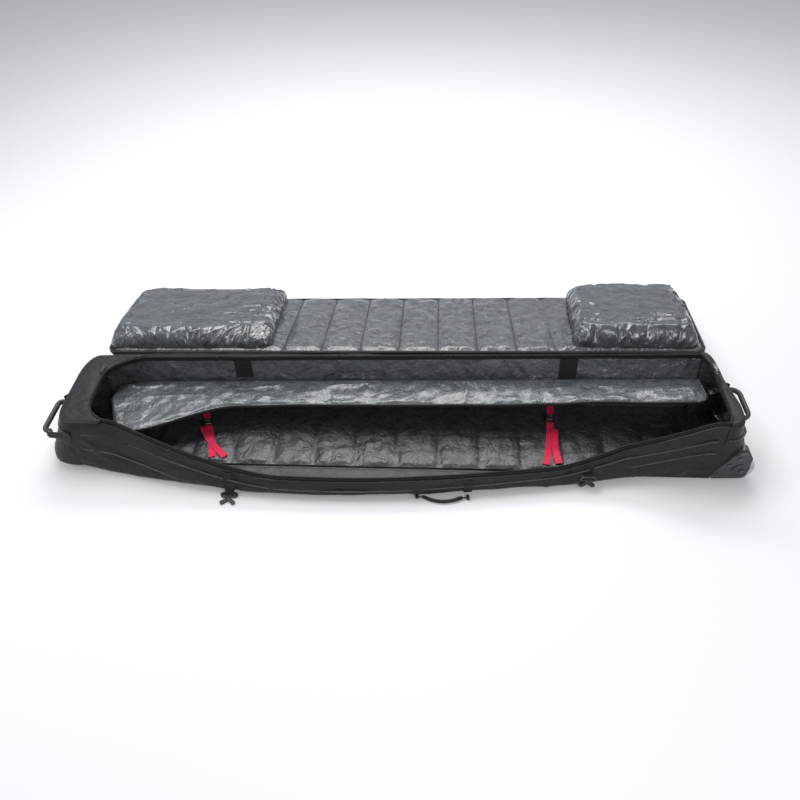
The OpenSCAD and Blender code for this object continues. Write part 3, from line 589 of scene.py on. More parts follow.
class Wall:
    """A stretch of the tray's wall as a grid of points, its outward normals and its flat coordinates."""

    def __init__(self, stations, m):
        rows, normals, lengths = [], [], []
        for base, out, section in stations:
            p, s = profile(section, m)
            d = np.gradient(p, axis=0)
            n = np.stack([d[:, 1], -d[:, 0]], axis=1)
            n /= np.linalg.norm(n, axis=1, keepdims=True)
            rows.append(np.column_stack([base[0] + out[0] * p[:, 0], base[1] + out[1] * p[:, 0], p[:, 1]]))
            normals.append(np.column_stack([out[0] * n[:, 0], out[1] * n[:, 0], n[:, 1]]))
            lengths.append(s)
        self.p, self.n, self.v = np.array(rows), np.array(normals), np.array(lengths)
        mid = self.p[:, m // 2]
        self.u = run_length(mid)[:, None] + 0 * self.v
        self.t = self.v / self.v[:, -1:]

    def at(self, depth):
        """Points moved inwards by depth, which may vary over the grid."""
        return self.p - self.n * np.broadcast_to(depth, self.t.shape)[..., None]


def set_uv(obj, uv):
    """Flat coordinates, in metres, for a shell made of two grids."""
    flat = np.concatenate([uv.reshape(-1, 2)] * 2)
    layer = obj.data.uv_layers.new(name="flat")
    index = np.zeros(len(obj.data.loops), int)
    obj.data.loops.foreach_get("vertex_index", index)
    layer.data.foreach_set("uv", flat[index].ravel())


def edge_mask(t, width):
    return smooth(np.minimum(t, 1 - t) / width)


WALL_STEP, WALL_ROWS = 0.0045, 44
WALLS = {k: Wall(v, WALL_ROWS) for k, v in make_stations(WALL_STEP).items()}
SEAM_X = (-0.43, 0.47)

# Where the wheels' moulded guards take the place of the fabric: circles round which their outline
# is drawn tight, in X and Z from the wheel's centre
WHEEL_X, WHEEL_R = 0.935, 0.0375
WELL_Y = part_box("wheel_guard_rear")[0].y - 0.0005
GUARD_CIRCLES = ((0.003, -0.014, 0.014), (-0.066, -0.020, 0.012),
                 (-0.024, 0.044, 0.016), (0.0, 0.046, 0.016))
WELL_LOW = ((0.858, -0.05), (1.1, -0.05), (1.1, 0.078), (0.945, 0.078), (0.858, 0.017))


def guard_outline(grow):
    """The guard's outline, moved outwards by grow."""
    pts = sorted((WHEEL_X + x + (r + grow) * math.cos(a), WHEEL_R + z + (r + grow) * math.sin(a))
                 for x, z, r in GUARD_CIRCLES for a in np.linspace(0, 2 * math.pi, 33)[:-1])
    hull = []
    for run in (pts, pts[::-1]):
        half = []
        for q in run:
            while len(half) > 1 and ((half[-1][0] - half[-2][0]) * (q[1] - half[-2][1])
                                     - (half[-1][1] - half[-2][1]) * (q[0] - half[-2][0])) <= 0:
                half.pop()
            half.append(q)
        hull += half[:-1]
    return hull


def prism(name, outline, y0, y1):
    n = len(outline)
    verts = [(x, y, z) for y in (y0, y1) for x, z in outline]
    faces = [tuple(range(n)), tuple(range(2 * n - 1, n - 1, -1))]
    faces += [(k, n + k, n + (k + 1) % n, (k + 1) % n) for k in range(n)]
    mesh = bpy.data.meshes.new(name)
    mesh.from_pydata(verts, [], faces)
    obj = place(name, mesh)
    fix_normals(obj)
    return obj


def apply_modifiers(obj):
    deps = bpy.context.evaluated_depsgraph_get()
    deps.update()
    mesh = bpy.data.meshes.new_from_object(obj.evaluated_get(deps))
    mesh.name = obj.name
    old = obj.data
    obj.modifiers.clear()
    obj.data = mesh
    bpy.data.meshes.remove(old)


def cut(obj, tools):
    """Takes closed shapes out of a piece, and removes them."""
    for tool in tools:
        mod = obj.modifiers.new("cut", "BOOLEAN")
        mod.operation, mod.solver, mod.object = "DIFFERENCE", "EXACT", tool
    apply_modifiers(obj)
    for tool in tools:
        bpy.data.objects.remove(tool)


def cut_wells(obj, sides=(-1, 1)):
    """Takes the guards' outline out of a piece, down through the floor and out to the end."""
    cut(obj, [prism("cutter", outline, *sorted((side * WELL_Y, side * 0.30)))
              for side in sides for outline in (guard_outline(0.0005), WELL_LOW)])


def well_covers():
    """Lining drawn over the guards inside the bag."""
    for side, name in ((-1, "front"), (1, "rear")):
        line = [(min(x, 0.938), max(z, 0.0108)) for x, z in guard_outline(0.0035)]
        line = [p for k, p in enumerate(line) if math.dist(p, line[k - 1]) > 0.0004]
        obj = prism(f"{name}_well_lining", line, *sorted((side * (WELL_Y - 0.0030), side * 0.1275)))
        bevel(obj, 0.0028, 3, 50)
        apply_modifiers(obj)
        shade(obj.data, 50)
        dress(obj, LINING_DARK, "bag")


# ---------------------------------------------------------------- tray walls and linings
def outer_lift(w, seed, soft):
    """Puff and wrinkles of a shell panel, positive outwards."""
    a, b = w.u, w.v
    folds = noise3(planar(a * 5.0, b * 24.0, seed), seed) * 0.0030
    ridge = (1 - np.abs(noise3(planar(a * 8.0 + 3, b * 42.0, seed), seed + 1))) ** 3 * 0.0028
    crease = crumple(a, b, 0.075, seed + 2, stretch=1.8) * 0.0013
    return (folds + ridge + crease) * soft * edge_mask(w.t, 0.07) + 0.0012 * edge_mask(w.t, 0.1)


def tray_shell(side, nodes, soft, seed, mat, cut_sides=()):
    w = WALLS[side]
    lift = outer_lift(w, seed, soft)
    if side == "front":
        x = w.p[..., 0]
        for seam in SEAM_X:
            lift = lift - 0.0030 * np.exp(-((x - seam) / 0.005) ** 2)
    outer = w.at(-lift)
    outer[..., 2] = np.maximum(outer[..., 2], 0.0012)
    inner = w.at(WALL_T * 0.9)
    obj = add_shell(nodes[0] + "_fabric", outer, inner, mat, "bag", nodes)
    set_uv(obj, np.stack([w.u, w.v], axis=-1))
    if cut_sides:
        cut_wells(obj, cut_sides)
        dress(obj, mat, "bag", nodes)


tray_shell("front", ["front_wall"], 1.0, 11, RIPSTOP, (-1,))
tray_shell("back", ["back_wall"], 0.45, 23, RIPSTOP, (1,))
tray_shell("left", ["left_end"], 0.40, 37, RIPSTOP)
tray_shell("right", ["right_end"], 0.22, 41, RIPSTOP, (-1, 1))


def tray_lining(side, node, mat, height, seed, cut_sides=()):
    w = WALLS[side]
    a, b = w.u, w.v
    puff = 0.5 + 0.5 * np.clip(crumple(a, b, 0.048, seed, waves=9), -1, 1)
    fold = 0.5 + 0.5 * noise3(planar(a * 9.0, b * 20.0, seed), seed)
    rise = height * (0.65 * puff + 0.35 * fold) * edge_mask(w.t, 0.06)
    outer, inner = w.at(WALL_T * 0.9 + 0.0006), w.at(WALL_T + 0.0012 + rise)
    obj = add_shell(node + "_skin", outer, inner, mat, "bag", [node])
    if cut_sides:
        cut_wells(obj, cut_sides)
        dress(obj, mat, "bag", [node])


tray_lining("front", "front_lining", FRONT_LINING, 0.0050, 5, (-1,))
tray_lining("back", "back_lining", LINING_BACK, 0.0058, 6, (1,))
tray_lining("left", "left_end_lining", LINING_DARK, 0.0032, 7)
tray_lining("right", "right_end_lining", LINING_DARK, 0.0028, 8, (-1, 1))


well_covers()


def half_width(x, margin):
    """Half width of the base at x, inside its rounded corners."""
    d = np.maximum(np.maximum(CORNER_L - x, x - CORNER_X), 0)
    r = CORNER_R - margin
    return CORNER_Y + np.sqrt(np.maximum(r * r - np.minimum(d, r) ** 2, 0))


def channel_distance(x):
    """Distance along the bag to the nearest sewn channel, with one channel at zero."""
    return np.abs(((x + CHANNEL_PITCH / 2) % CHANNEL_PITCH) - CHANNEL_PITCH / 2)


def floor_piece():
    """Quilted floor lining: shallow pillows between channels sewn across the bag."""
    margin = WALL_T + 0.0035
    x = np.linspace(LEFT_X + margin + 0.001, RIGHT_X - margin - 0.001, 430)[:, None] + np.zeros((1, 66))
    t = np.linspace(-1, 1, 66)[None, :] + 0 * x
    y = t * half_width(x, margin)
    to_channel = channel_distance(x)
    pillow = 0.0040 * smooth(to_channel / 0.030)
    puff = 0.5 + 0.5 * np.clip(crumple(x, y, 0.050, 61, waves=9), -1, 1)
    z = 0.0128 + (pillow + 0.0042 * puff * smooth(to_channel / 0.012)) * smooth((1 - np.abs(t)) / 0.08)
    top = np.stack([x, y, z], axis=-1)
    under = np.stack([x, y, np.full_like(x, 0.0106)], axis=-1)
    obj = add_shell("floor_quilt", top, under, FLOOR_QUILT, "bag", ["floor_lining"])
    cut_wells(obj)
    dress(obj, FLOOR_QUILT, "bag", ["floor_lining"])


floor_piece()


def stitches(name, path, mat, body, pitch=0.0042, length=0.0027, radius=0.00045):
    """A row of thread stitches along a path that lies on the cloth."""
    path = resample(path, pitch)
    t, side, up = frames_along(path, False)
    verts, faces = [], []
    for p, d, s, u in zip(path, t, side, up):
        base = len(verts)
        for along, lift in ((-length / 2, 0.0), (0.0, radius * 1.2), (length / 2, 0.0)):
            for k in range(4):
                a = math.pi / 2 * k + math.pi / 4
                verts.append(p + d * along + s * math.cos(a) * radius + u * (math.sin(a) * radius + lift))
        faces += ring_faces(3, 4, base=base)
    add_mesh(name, verts, faces, mat, body, (), 0)


# ---------------------------------------------------------------- yokes, zip and binding round the opening
LEFT_OPEN_X, RIGHT_OPEN_X = -0.879 * HALF_L, 0.905 * HALF_L
LEFT_FRONT_X, LEFT_BACK_X = -0.815 * HALF_L, -0.775 * HALF_L
RIGHT_FRONT_X, RIGHT_BACK_X = 0.893 * HALF_L, 0.884 * HALF_L
YOKE_T, GAP = 0.004, 0.0012


def opening_edge(t, side):
    """Edge of the opening over an end: back to front on the left, front to back on the right."""
    t = np.asarray(t, float)
    if side < 0:
        y = mix(back_rim_y(LEFT_BACK_X) - 0.009, front_rim_y(LEFT_FRONT_X) + 0.009, t)
        reach, x0 = np.where(t < 0.5, LEFT_BACK_X, LEFT_FRONT_X), LEFT_OPEN_X
    else:
        y = mix(front_rim_y(RIGHT_FRONT_X) + 0.009, back_rim_y(RIGHT_BACK_X) - 0.009, t)
        reach, x0 = np.where(t < 0.5, RIGHT_FRONT_X, RIGHT_BACK_X), RIGHT_OPEN_X
    x = x0 + (reach - x0) * np.abs(2 * t - 1) ** 4
    return np.stack([x, y, rim_z(x)], axis=-1)


def rim_path(side, n=120):
    front, back = WALLS["front"].p[:, -1], WALLS["back"].p[:, -1]
    if side < 0:
        ends = [back[back[:, 0] < LEFT_BACK_X], WALLS["left"].p[:, -1],
                front[front[:, 0] < LEFT_FRONT_X]]
    else:
        ends = [front[front[:, 0] > RIGHT_FRONT_X], WALLS["right"].p[:, -1],
                back[back[:, 0] > RIGHT_BACK_X]]
    path = np.vstack([e for e in ends if len(e)])
    keep = np.r_[True, np.linalg.norm(np.diff(path, axis=0), axis=1) > 1e-6]
    path = path[keep]
    d = run_length(path)
    s = np.linspace(0, d[-1], n)
    return np.stack([np.interp(s, d, path[:, k]) for k in range(3)], axis=1)


def yoke(side, node, seed):
    n, m = 120, 26
    rim = rim_path(side, n)
    edge = opening_edge(np.linspace(0, 1, n), side)
    w = np.linspace(0, 1, m)[None, :, None]
    mid = rim[:, None] * (1 - w) + edge[:, None] * w
    u = run_length(rim)[:, None] + np.zeros((1, m))
    v = np.linalg.norm(edge - rim, axis=1)[:, None] * w[..., 0]
    soft = edge_mask(w[..., 0] + 0 * u, 0.25)
    ripple = noise3(planar(u * 14, v * 22), seed)
    lift = (0.0030 + 0.0030 * ripple + 0.0016 * crumple(u, v, 0.05, seed)) * soft
    top, under = mid.copy(), mid.copy()
    top[..., 2] += GAP + YOKE_T + lift
    under[..., 2] += GAP
    obj = add_shell(node + "_fabric", top, under, RIPSTOP, "bag", [node])
    set_uv(obj, np.stack([u, v], axis=-1))
    pipe = rim.copy()
    pipe[:, 2] += 0.0022
    sweep(node + "_piping", pipe, circle(0.0030, 8), TAPE, "bag")
    inset = rim * 0.86 + edge * 0.14
    inset[:, 2] += GAP + YOKE_T + 0.0020
    stitches(node + "_stitches", inset[3:-3], THREAD, "bag")


yoke(-1, "left_yoke", 71)
yoke(1, "right_yoke", 73)


def opening_path():
    xs = np.linspace(LEFT_FRONT_X, RIGHT_FRONT_X, 300)
    front = np.stack([xs, front_rim_y(xs) + 0.0093, front_rim_z(xs)], axis=1)
    xb = np.linspace(RIGHT_BACK_X, LEFT_BACK_X, 200)
    back = np.stack([xb, back_rim_y(xb) - 0.0093, rim_z(xb)], axis=1)
    t = np.linspace(0, 1, 60)[1:-1]
    return np.vstack([front, opening_edge(t, 1), back, opening_edge(t, -1)])


TOOTH_PITCH = 0.0023


def teeth(name, path, out, size, nodes):
    """The tray zip's chain: one small rounded tooth after another along a closed path."""
    path = resample(path, TOOTH_PITCH, closed=True)
    t, side, up = frames_along(path, True)
    verts, faces = [], []
    half = np.array(size) / 2
    for p, d, s, u in zip(path, t, side, up):
        base = len(verts)
        for a, k in ((-1, 0.55), (-0.45, 1.0), (0.45, 1.0), (1, 0.55)):
            for b, c in ((-1, -1), (1, -1), (1, 1), (-1, 1)):
                verts.append(p + s * (out + b * k * half[1]) + u * c * k * half[2] + d * a * half[0])
        faces += ring_faces(4, 4, base=base)
    add_mesh(name, verts, faces, COIL, "bag", nodes, 0)


def tray_zip():
    path = resample(opening_path(), 0.006, closed=True)
    wob = noise3(planar(path[:, 0] * 9, path[:, 1] * 9), 3) * 0.0010
    path[:, 2] += wob
    tape = [(-0.0018, -0.009), (-0.0003, -0.009), (-0.0003, 0.0072), (-0.0018, 0.0072)]
    sweep("opening_zip_tape", path, tape, TAPE, "bag", ["body_zip_tape"], closed=True)
    chain = path.copy()
    chain[:, 2] += 0.0058
    teeth("opening_zip_teeth", chain, -0.0031, (0.0016, 0.0026, 0.0022), ["body_zip_teeth"])
    fold = path.copy()
    fold[:, 2] += 0.0012
    edge = [(0.0002, -0.006), (0.0032, -0.0052), (0.0036, 0.0015), (0.0022, 0.0032), (0.0002, 0.0030)]
    sweep("opening_binding", fold, edge, TAPE, "bag", closed=True)


tray_zip()


# ---------------------------------------------------------------- webbing patches inside the back wall
def back_patches():
    for k, x0 in enumerate(WEBBING_X):
        xs = np.linspace(x0 - WEB_W / 2, x0 + WEB_W / 2, 9)
        p, n = [], []
        for x in xs:
            w = Wall([back_station(x), back_station(x + 1e-4)], 60)
            p.append(w.p[0, 34:57])
            n.append(w.n[0, 34:57])
        p, n = np.array(p), np.array(n)
        obj = add_shell(f"back_webbing_{k}", p - n * 0.0106, p - n * 0.0126, WEBBING, "bag",
                        ["back_webbing"] if k == 0 else [])
        stitches(f"back_webbing_{k}_top", (p - n * 0.0127)[1:-1, -3], THREAD, "bag")
        stitches(f"back_webbing_{k}_low", (p - n * 0.0127)[1:-1, 2], THREAD, "bag")


back_patches()


# ---------------------------------------------------------------- inner flap
FLAP_L, FLAP_TIP, FLAP_R, FLAP_ROUND = -0.842, -0.786, 0.870, 0.030


def flap_lobe(x):
    return 0.020 + 0.014 * x - 0.104 * smooth((-0.46 * HALF_L - x) / 0.33)


def flap_line(x, t):
    """Middle of the flap's underside: seam along the back wall at t = 0, free edge at t = 1."""
    slant = np.maximum(0, (FLAP_TIP - x) / (FLAP_TIP - FLAP_L))
    back = HALF_W - 0.008 + 0.006 * x - 0.020 * slant
    turn = np.maximum(0, x - FLAP_R + FLAP_ROUND)
    front = np.where(x < FLAP_TIP, mix(flap_lobe(FLAP_TIP), 0.045, slant),
                     flap_lobe(x) + FLAP_ROUND - np.sqrt(np.maximum(FLAP_ROUND ** 2 - turn ** 2, 0)))
    return np.stack([x + 0 * t, mix(back, front, t), 0.096 + 0.024 * x + 0.008 * t], axis=-1)


def flap():
    x = np.unique(np.r_[np.linspace(FLAP_L, FLAP_TIP, 26), np.linspace(FLAP_TIP, FLAP_R - FLAP_ROUND, 460),
                        FLAP_R - FLAP_ROUND * (1 - np.sin(np.linspace(0, math.pi / 2, 18)))])[:, None]
    t = np.linspace(0, 1, 64)[None, :]
    mid = flap_line(x, t)
    a, b = mid[..., 0], mid[..., 1]
    edge = edge_mask(t + 0 * x, 0.10) * smooth(np.minimum(x - FLAP_L, FLAP_R - x) / 0.035)
    roll = noise3(planar(a * 6.0, b * 9.0, 2.0), 91) * 0.0040
    wave = noise3(planar(a * 7.0, b * 2.0, 5.0), 95) * 0.0050 * t
    wave = wave * smooth((FLAP_R - x) / 0.1) * smooth((x - FLAP_L) / 0.1)
    fold = (1 - np.abs(noise3(planar(a * 13.0, b * 26.0, 4.0), 92))) ** 3 * 0.0045
    crease = crumple(a, b, 0.060, 93, waves=9) * 0.0030
    top, under = mid.copy(), mid.copy()
    top[..., 2] += 0.0050 + (0.0022 + roll + fold + crease) * edge + wave
    under[..., 2] += -0.0014 + (0.6 * roll - 0.3 * crease) * edge + wave
    obj = add_shell("flap_cloth", top, under, FLAP_LINING_PAINTED_LIGHT, "flap", ["flap_cover", "flap_foam"])
    line = (top[:, -1] + under[:, -1]) / 2
    end = ((top[0] + under[0]) / 2)[:-1]
    free = resample(np.vstack([end, line]), 0.005)
    free[:, 1] -= 0.0015
    ring = [(-0.0025, -0.0040), (0.0012, -0.0044), (0.0030, -0.0020),
            (0.0030, 0.0020), (0.0012, 0.0044), (-0.0025, 0.0040)]
    sweep("flap_edge", free, ring, TAPE, "flap", ["flap_binding"])
    seam = top[6:-14, 61].copy()
    seam[:, 2] += 0.0006
    stitches("flap_edge_stitches", seam, THREAD, "flap")
    back = flap_line(x[:, 0], np.zeros(len(x)))
    back[:, 2] += 0.0018
    back[:, 1] -= 0.0015
    sweep("flap_seam", back, circle(0.0034, 8), TAPE, "flap")


flap()


# ---------------------------------------------------------------- lid
TILT = math.atan(RIM_RISE)
LID_H = np.array([0, HALF_W + 0.048, RIM_H + 0.001])
LID_U = np.array([math.cos(TILT), 0, math.sin(TILT)])
LID_W = np.array([math.sin(TILT) * math.sin(DROOP), math.cos(DROOP), -math.cos(TILT) * math.sin(DROOP)])
LID_UP = np.array([-math.sin(TILT) * math.cos(DROOP), math.sin(DROOP), math.cos(TILT) * math.cos(DROOP)])


def lid_point(u, w, n):
    u, w, n = np.broadcast_arrays(u, w, n)
    return LID_H + u[..., None] * LID_U + w[..., None] * LID_W + n[..., None] * LID_UP


def round_in(d):
    d = np.clip(d, 0, LID_R)
    return LID_R - np.sqrt(np.maximum(LID_R ** 2 - (LID_R - d) ** 2, 0))


def lid_half(w):
    half = mix(LID_HINGE_L, LID_FREE_L, (w - LID_W0) / LID_D) / 2
    return half - round_in(w - LID_W0) - round_in(LID_W0 + LID_D - w)


def crown(u, w):
    return LID_CROWN * (1 - np.abs(u) ** 12) * (1 - np.abs(2 * (w - LID_W0) / LID_D - 1) ** 5)


def lid_rows(n):
    """Even steps over the lid's depth, closer together round its corners."""
    a = np.linspace(0, math.pi, n)
    return LID_W0 + LID_D * (0.35 * (1 - np.cos(a)) / 2 + 0.65 * np.linspace(0, 1, n))


# Centres of each pocket's round corners, near left, near right, far right and far left, and its height
POCKET_R = 0.020
POCKETS = {"left": (((-0.866, 0.046), (-0.412, 0.046), (-0.432, 0.400), (-0.908, 0.400)), 0.058),
           "right": (((0.534, 0.050), (0.850, 0.046), (0.892, 0.394), (0.564, 0.394)), 0.068)}


def lid_panels():
    # Lining with stitched channels between the pockets
    w = lid_rows(90)[None, :]
    f = np.linspace(-1, 1, 520)[:, None]
    u = f * (lid_half(w) - 0.001)
    near = channel_distance(u - LID_CHANNEL_X)
    between = smooth((u + 0.45) / 0.02) * smooth((0.50 - u) / 0.02)
    inset = smooth(np.minimum(w - LID_W0, LID_W0 + LID_D - w) / 0.020) * smooth((1 - np.abs(f)) / 0.02)
    puff = 0.0062 * smooth(near / 0.034) * between + 0.0045 * (1 - between)
    run = smooth(near / 0.010) * between + (1 - between)
    crease = 0.5 + 0.5 * crumple(u, w + 0 * u, 0.050, 101, waves=9)
    fold = (1 - np.abs(noise3(planar(u * 22.0, w * 9.0 + 0 * u, 1.0), 102))) ** 3
    lift = (puff + run * (0.0046 * crease + 0.0026 * fold)) * inset
    top = lid_point(u, w, LID_N - 0.0025 + lift)
    under = lid_point(u, w, LID_N - 0.0050 + 0 * u)
    obj = add_shell("lid_quilt", top, under, LINING, "lid", ["lid_lining", "lid_foam"])
    strip = [(-0.0011, -0.0004), (0.0011, -0.0004), (0.0011, 0.0004), (-0.0011, 0.0004)]
    for k in range(LID_CHANNELS):
        uc = LID_CHANNEL_X + CHANNEL_PITCH * k
        ws = np.linspace(LID_W0 + 0.012, LID_W0 + LID_D - 0.012, 60)
        line = lid_point(np.full_like(ws, uc), ws, LID_N - 0.0022 + 0 * ws)
        sweep(f"lid_channel_{k}", line, strip, TAPE, "lid")
        stitches(f"lid_channel_thread_{k}", line + 0.0004 * LID_UP, THREAD, "lid")

    # Outer cover
    w = lid_rows(70)[None, :]
    f = np.linspace(-1, 1, 420)[:, None]
    u = f * (lid_half(w) - 0.001)
    body = crown(f + 0 * w, w + 0 * f) * 0.96
    soft = smooth(np.minimum(w - LID_W0, LID_W0 + LID_D - w) / 0.05) * smooth((1 - np.abs(f)) / 0.05)
    sag = (noise3(planar(u * 5.0, w * 7.0 + 0 * u, 5.0), 103) * 0.0035
           + crumple(u, w + 0 * u, 0.11, 104) * 0.0022) * soft
    outer = lid_point(u, w, LID_N - LID_EDGE_T - body + sag)
    inner = lid_point(u, w, LID_N - 0.0140 + 0 * u)
    outer[..., 2] = np.maximum(outer[..., 2], 0.0022)
    inner[..., 2] = np.maximum(inner[..., 2], 0.0034)
    obj = add_shell("lid_outer_cloth", outer, inner, RIPSTOP, "lid", ["lid_cover"])
    set_uv(obj, np.stack([u, w + 0 * u], axis=-1))


lid_panels()


def lid_outline(step):
    w = np.linspace(LID_W0, LID_W0 + LID_D, 160)
    right = np.stack([lid_half(w), w], axis=1)
    far = np.stack([np.linspace(lid_half(w[-1]), -lid_half(w[-1]), 60), np.full(60, w[-1])], axis=1)
    left = np.stack([-lid_half(w[::-1]), w[::-1]], axis=1)
    near = np.stack([np.linspace(-lid_half(w[0]), lid_half(w[0]), 60), np.full(60, LID_W0)], axis=1)
    ring = np.vstack([right, far[1:-1], left, near[1:-1]])
    ring = np.column_stack([ring, np.zeros(len(ring))])
    return resample(ring, step, closed=True)


def lid_ring(step):
    """The lid's outline with its direction and its outward direction at each point."""
    ring = lid_outline(step)
    t = np.roll(ring, -1, axis=0) - np.roll(ring, 1, axis=0)
    t /= np.linalg.norm(t, axis=1, keepdims=True)
    return ring, t, np.stack([t[:, 1], -t[:, 0]], axis=1)


def lid_strip(name, section, nodes, wave=0.0):
    """A strip that runs round the lid; section points are (outwards, up) from its outline."""
    ring, _, out = lid_ring(0.006)
    dn = wave * noise3(planar(ring[:, 0] * 12, ring[:, 1] * 12), 9)
    rows = []
    for o, up in section:
        rows.append(lid_point(ring[:, 0] + out[:, 0] * o, ring[:, 1] + out[:, 1] * o, LID_N + up + dn))
    rings = np.stack(rows, axis=1)
    faces = ring_faces(*rings.shape[:2], closed=True)
    obj = add_mesh(name, rings.reshape(-1, 3), faces, TAPE, "lid", nodes, 40)
    fix_normals(obj)


lid_strip("lid_piping", [(-0.0010, -0.0080), (0.0035, -0.0080), (0.0052, -0.0055), (0.0052, -0.0025),
                         (0.0030, -0.0004), (-0.0010, 0.0000), (-0.0030, -0.0004)],
          ["lid_binding"], wave=0.0008)
lid_strip("lid_tape", [(-0.0010, -0.0155), (0.0028, -0.0155), (0.0028, -0.0083), (-0.0010, -0.0083)],
          ["lid_zip_tape"])


def lid_teeth():
    ring, t, out = lid_ring(TOOTH_PITCH)
    verts, faces = [], []
    for p, d, o in zip(ring, t, out):
        base = len(verts)
        for along in (-0.0008, 0.0008):
            for q, n in ((0.0028, -0.0125), (0.0050, -0.0120), (0.0050, -0.0100), (0.0028, -0.0095)):
                at = [p[c] + o[c] * q + d[c] * along for c in (0, 1)]
                verts.append(lid_point(*at, LID_N + n))
        faces += ring_faces(2, 4, base=base)
    add_mesh("lid_chain", verts, faces, COIL, "lid", ["lid_zip_teeth"], 0)


lid_teeth()


def side_seam():
    """Piping round the lid's side, where the outer cloth meets the gusset."""
    ring = lid_outline(0.008)
    path = lid_point(ring[:, 0], ring[:, 1], np.full(len(ring), LID_N - LID_EDGE_T + 0.002))
    sweep("lid_lower_piping", path, circle(0.0030, 7), TAPE, "lid", closed=True)


side_seam()


# ---------------------------------------------------------------- pockets on the lid
def pocket_plan(corners, f, g):
    """Points of a pocket's outline and inside, for f and g from -1 to 1, with round corners."""
    c = np.array(corners)
    hu, hw = (c[1, 0] - c[0, 0]) / 2 + POCKET_R, (c[3, 1] - c[0, 1]) / 2 + POCKET_R
    du = np.maximum(np.abs(f) * hu - (hu - POCKET_R), 0)
    dw = np.maximum(np.abs(g) * hw - (hw - POCKET_R), 0)
    k = POCKET_R / np.maximum(np.maximum(np.sqrt(du ** 2 + dw ** 2), POCKET_R), 1e-9)
    pu = np.sign(f) * (np.minimum(np.abs(f) * hu, hu - POCKET_R) + du * k) / hu
    pw = np.sign(g) * (np.minimum(np.abs(g) * hw, hw - POCKET_R) + dw * k) / hw
    spread = np.array([[-1, -1], [1, -1], [1, 1], [-1, 1]]) * POCKET_R
    q = c + spread
    a, b = (pu + 1) / 2, (pw + 1) / 2
    at = [(1 - a) * (1 - b) * q[0, n] + a * (1 - b) * q[1, n] + a * b * q[2, n] + (1 - a) * b * q[3, n]
          for n in (0, 1)]
    return at[0], at[1], hu, hw


def pocket(side, nu, nv, seed):
    """A stuffed pouch: steep rounded sides, a soft top, and folds where it is seamed."""
    corners, t = POCKETS[side]
    f, g = np.broadcast_arrays(np.linspace(-1, 1, nu)[:, None], np.linspace(-1, 1, nv)[None, :])
    f = np.sign(f) * (1 - (1 - np.abs(f)) ** 1.25)
    g = np.sign(g) * (1 - (1 - np.abs(g)) ** 1.25)
    u, w, hu, hw = pocket_plan(corners, f, g)
    rim = np.minimum((1 - np.abs(f)) * hu, (1 - np.abs(g)) * hw)
    side_r = 0.036
    wall = np.sqrt(np.clip(1 - (1 - np.clip(rim / side_r, 0, 1)) ** 2, 0, 1))
    dome = (1 - np.abs(f) ** 2.6) * (1 - np.abs(g) ** 2.6)
    big = noise3(planar(u * 5.0, w * 7.0, seed), seed)
    pucker = noise3(planar(u * 42.0, w * 42.0, seed), seed + 4) * smooth(1 - rim / 0.030)
    fold = (1 - np.abs(noise3(planar(u * 10.0, w * 17.0, 3.1), seed + 1))) ** 4
    fine = crumple(u, w, 0.060, seed + 2, waves=10)
    inside = smooth(rim / 0.10)
    if side == "left":
        # its long zip presses a crease along the near side and another down the right end
        h = t * (0.87 + 0.07 * dome) + 0.0026 * big
        h = h + (0.0050 * (fold - 0.25) + 0.0020 * fine) * (0.4 + 0.6 * inside)
        line = w - 0.092 - 0.006 * noise3(planar(u * 6, u * 0), 4)
        h = h - 0.0055 * np.exp(-(line / 0.0050) ** 2) - 0.007 * smooth((0.090 - w) / 0.05)
        h = h - 0.0050 * np.exp(-((u + 0.462 - 0.02 * (w - 0.2)) / 0.0055) ** 2)
    else:
        h = t * (0.80 + 0.15 * dome) + 0.0034 * big
        h = h + (0.0075 * (fold - 0.25) + 0.0030 * fine) * (0.5 + 0.5 * inside)
        for at, lean, deep in ((0.598, 0.16, 0.006), (0.716, -0.30, 0.004), (0.846, 0.20, 0.005)):
            line = u - at - lean * (w - 0.22) - 0.014 * noise3(planar(w * 7, w * 0 + at), 6)
            h = h - deep * np.exp(-(line / 0.008) ** 2)
        h = h - 0.005 * np.exp(-((w - 0.094 - 0.008 * noise3(planar(u * 8, u * 0), 8)) / 0.006) ** 2)
    h = h * wall + 0.0012 + 0.0022 * pucker * wall
    h = np.clip(h, 0.0008, t - 0.0040)
    top = lid_point(u, w, LID_N + 0.0032 + h)
    under = lid_point(u, w, LID_N + 0.0026 + 0 * u)
    obj = add_shell(f"pocket_{side}_cloth", top, under, LINING_PALE, None,
                    [f"lid_pocket_{side}"], sharp=0)
    puff_up(obj, LID_N + t)
    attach(obj, "lid")
    mid = np.mean(corners, axis=0)
    anchor = lid_point(mid[0], mid[1], np.float64(LID_N))
    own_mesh(obj)


CLOTH_FRAMES, CLOTH_CAP = 10, 0.006


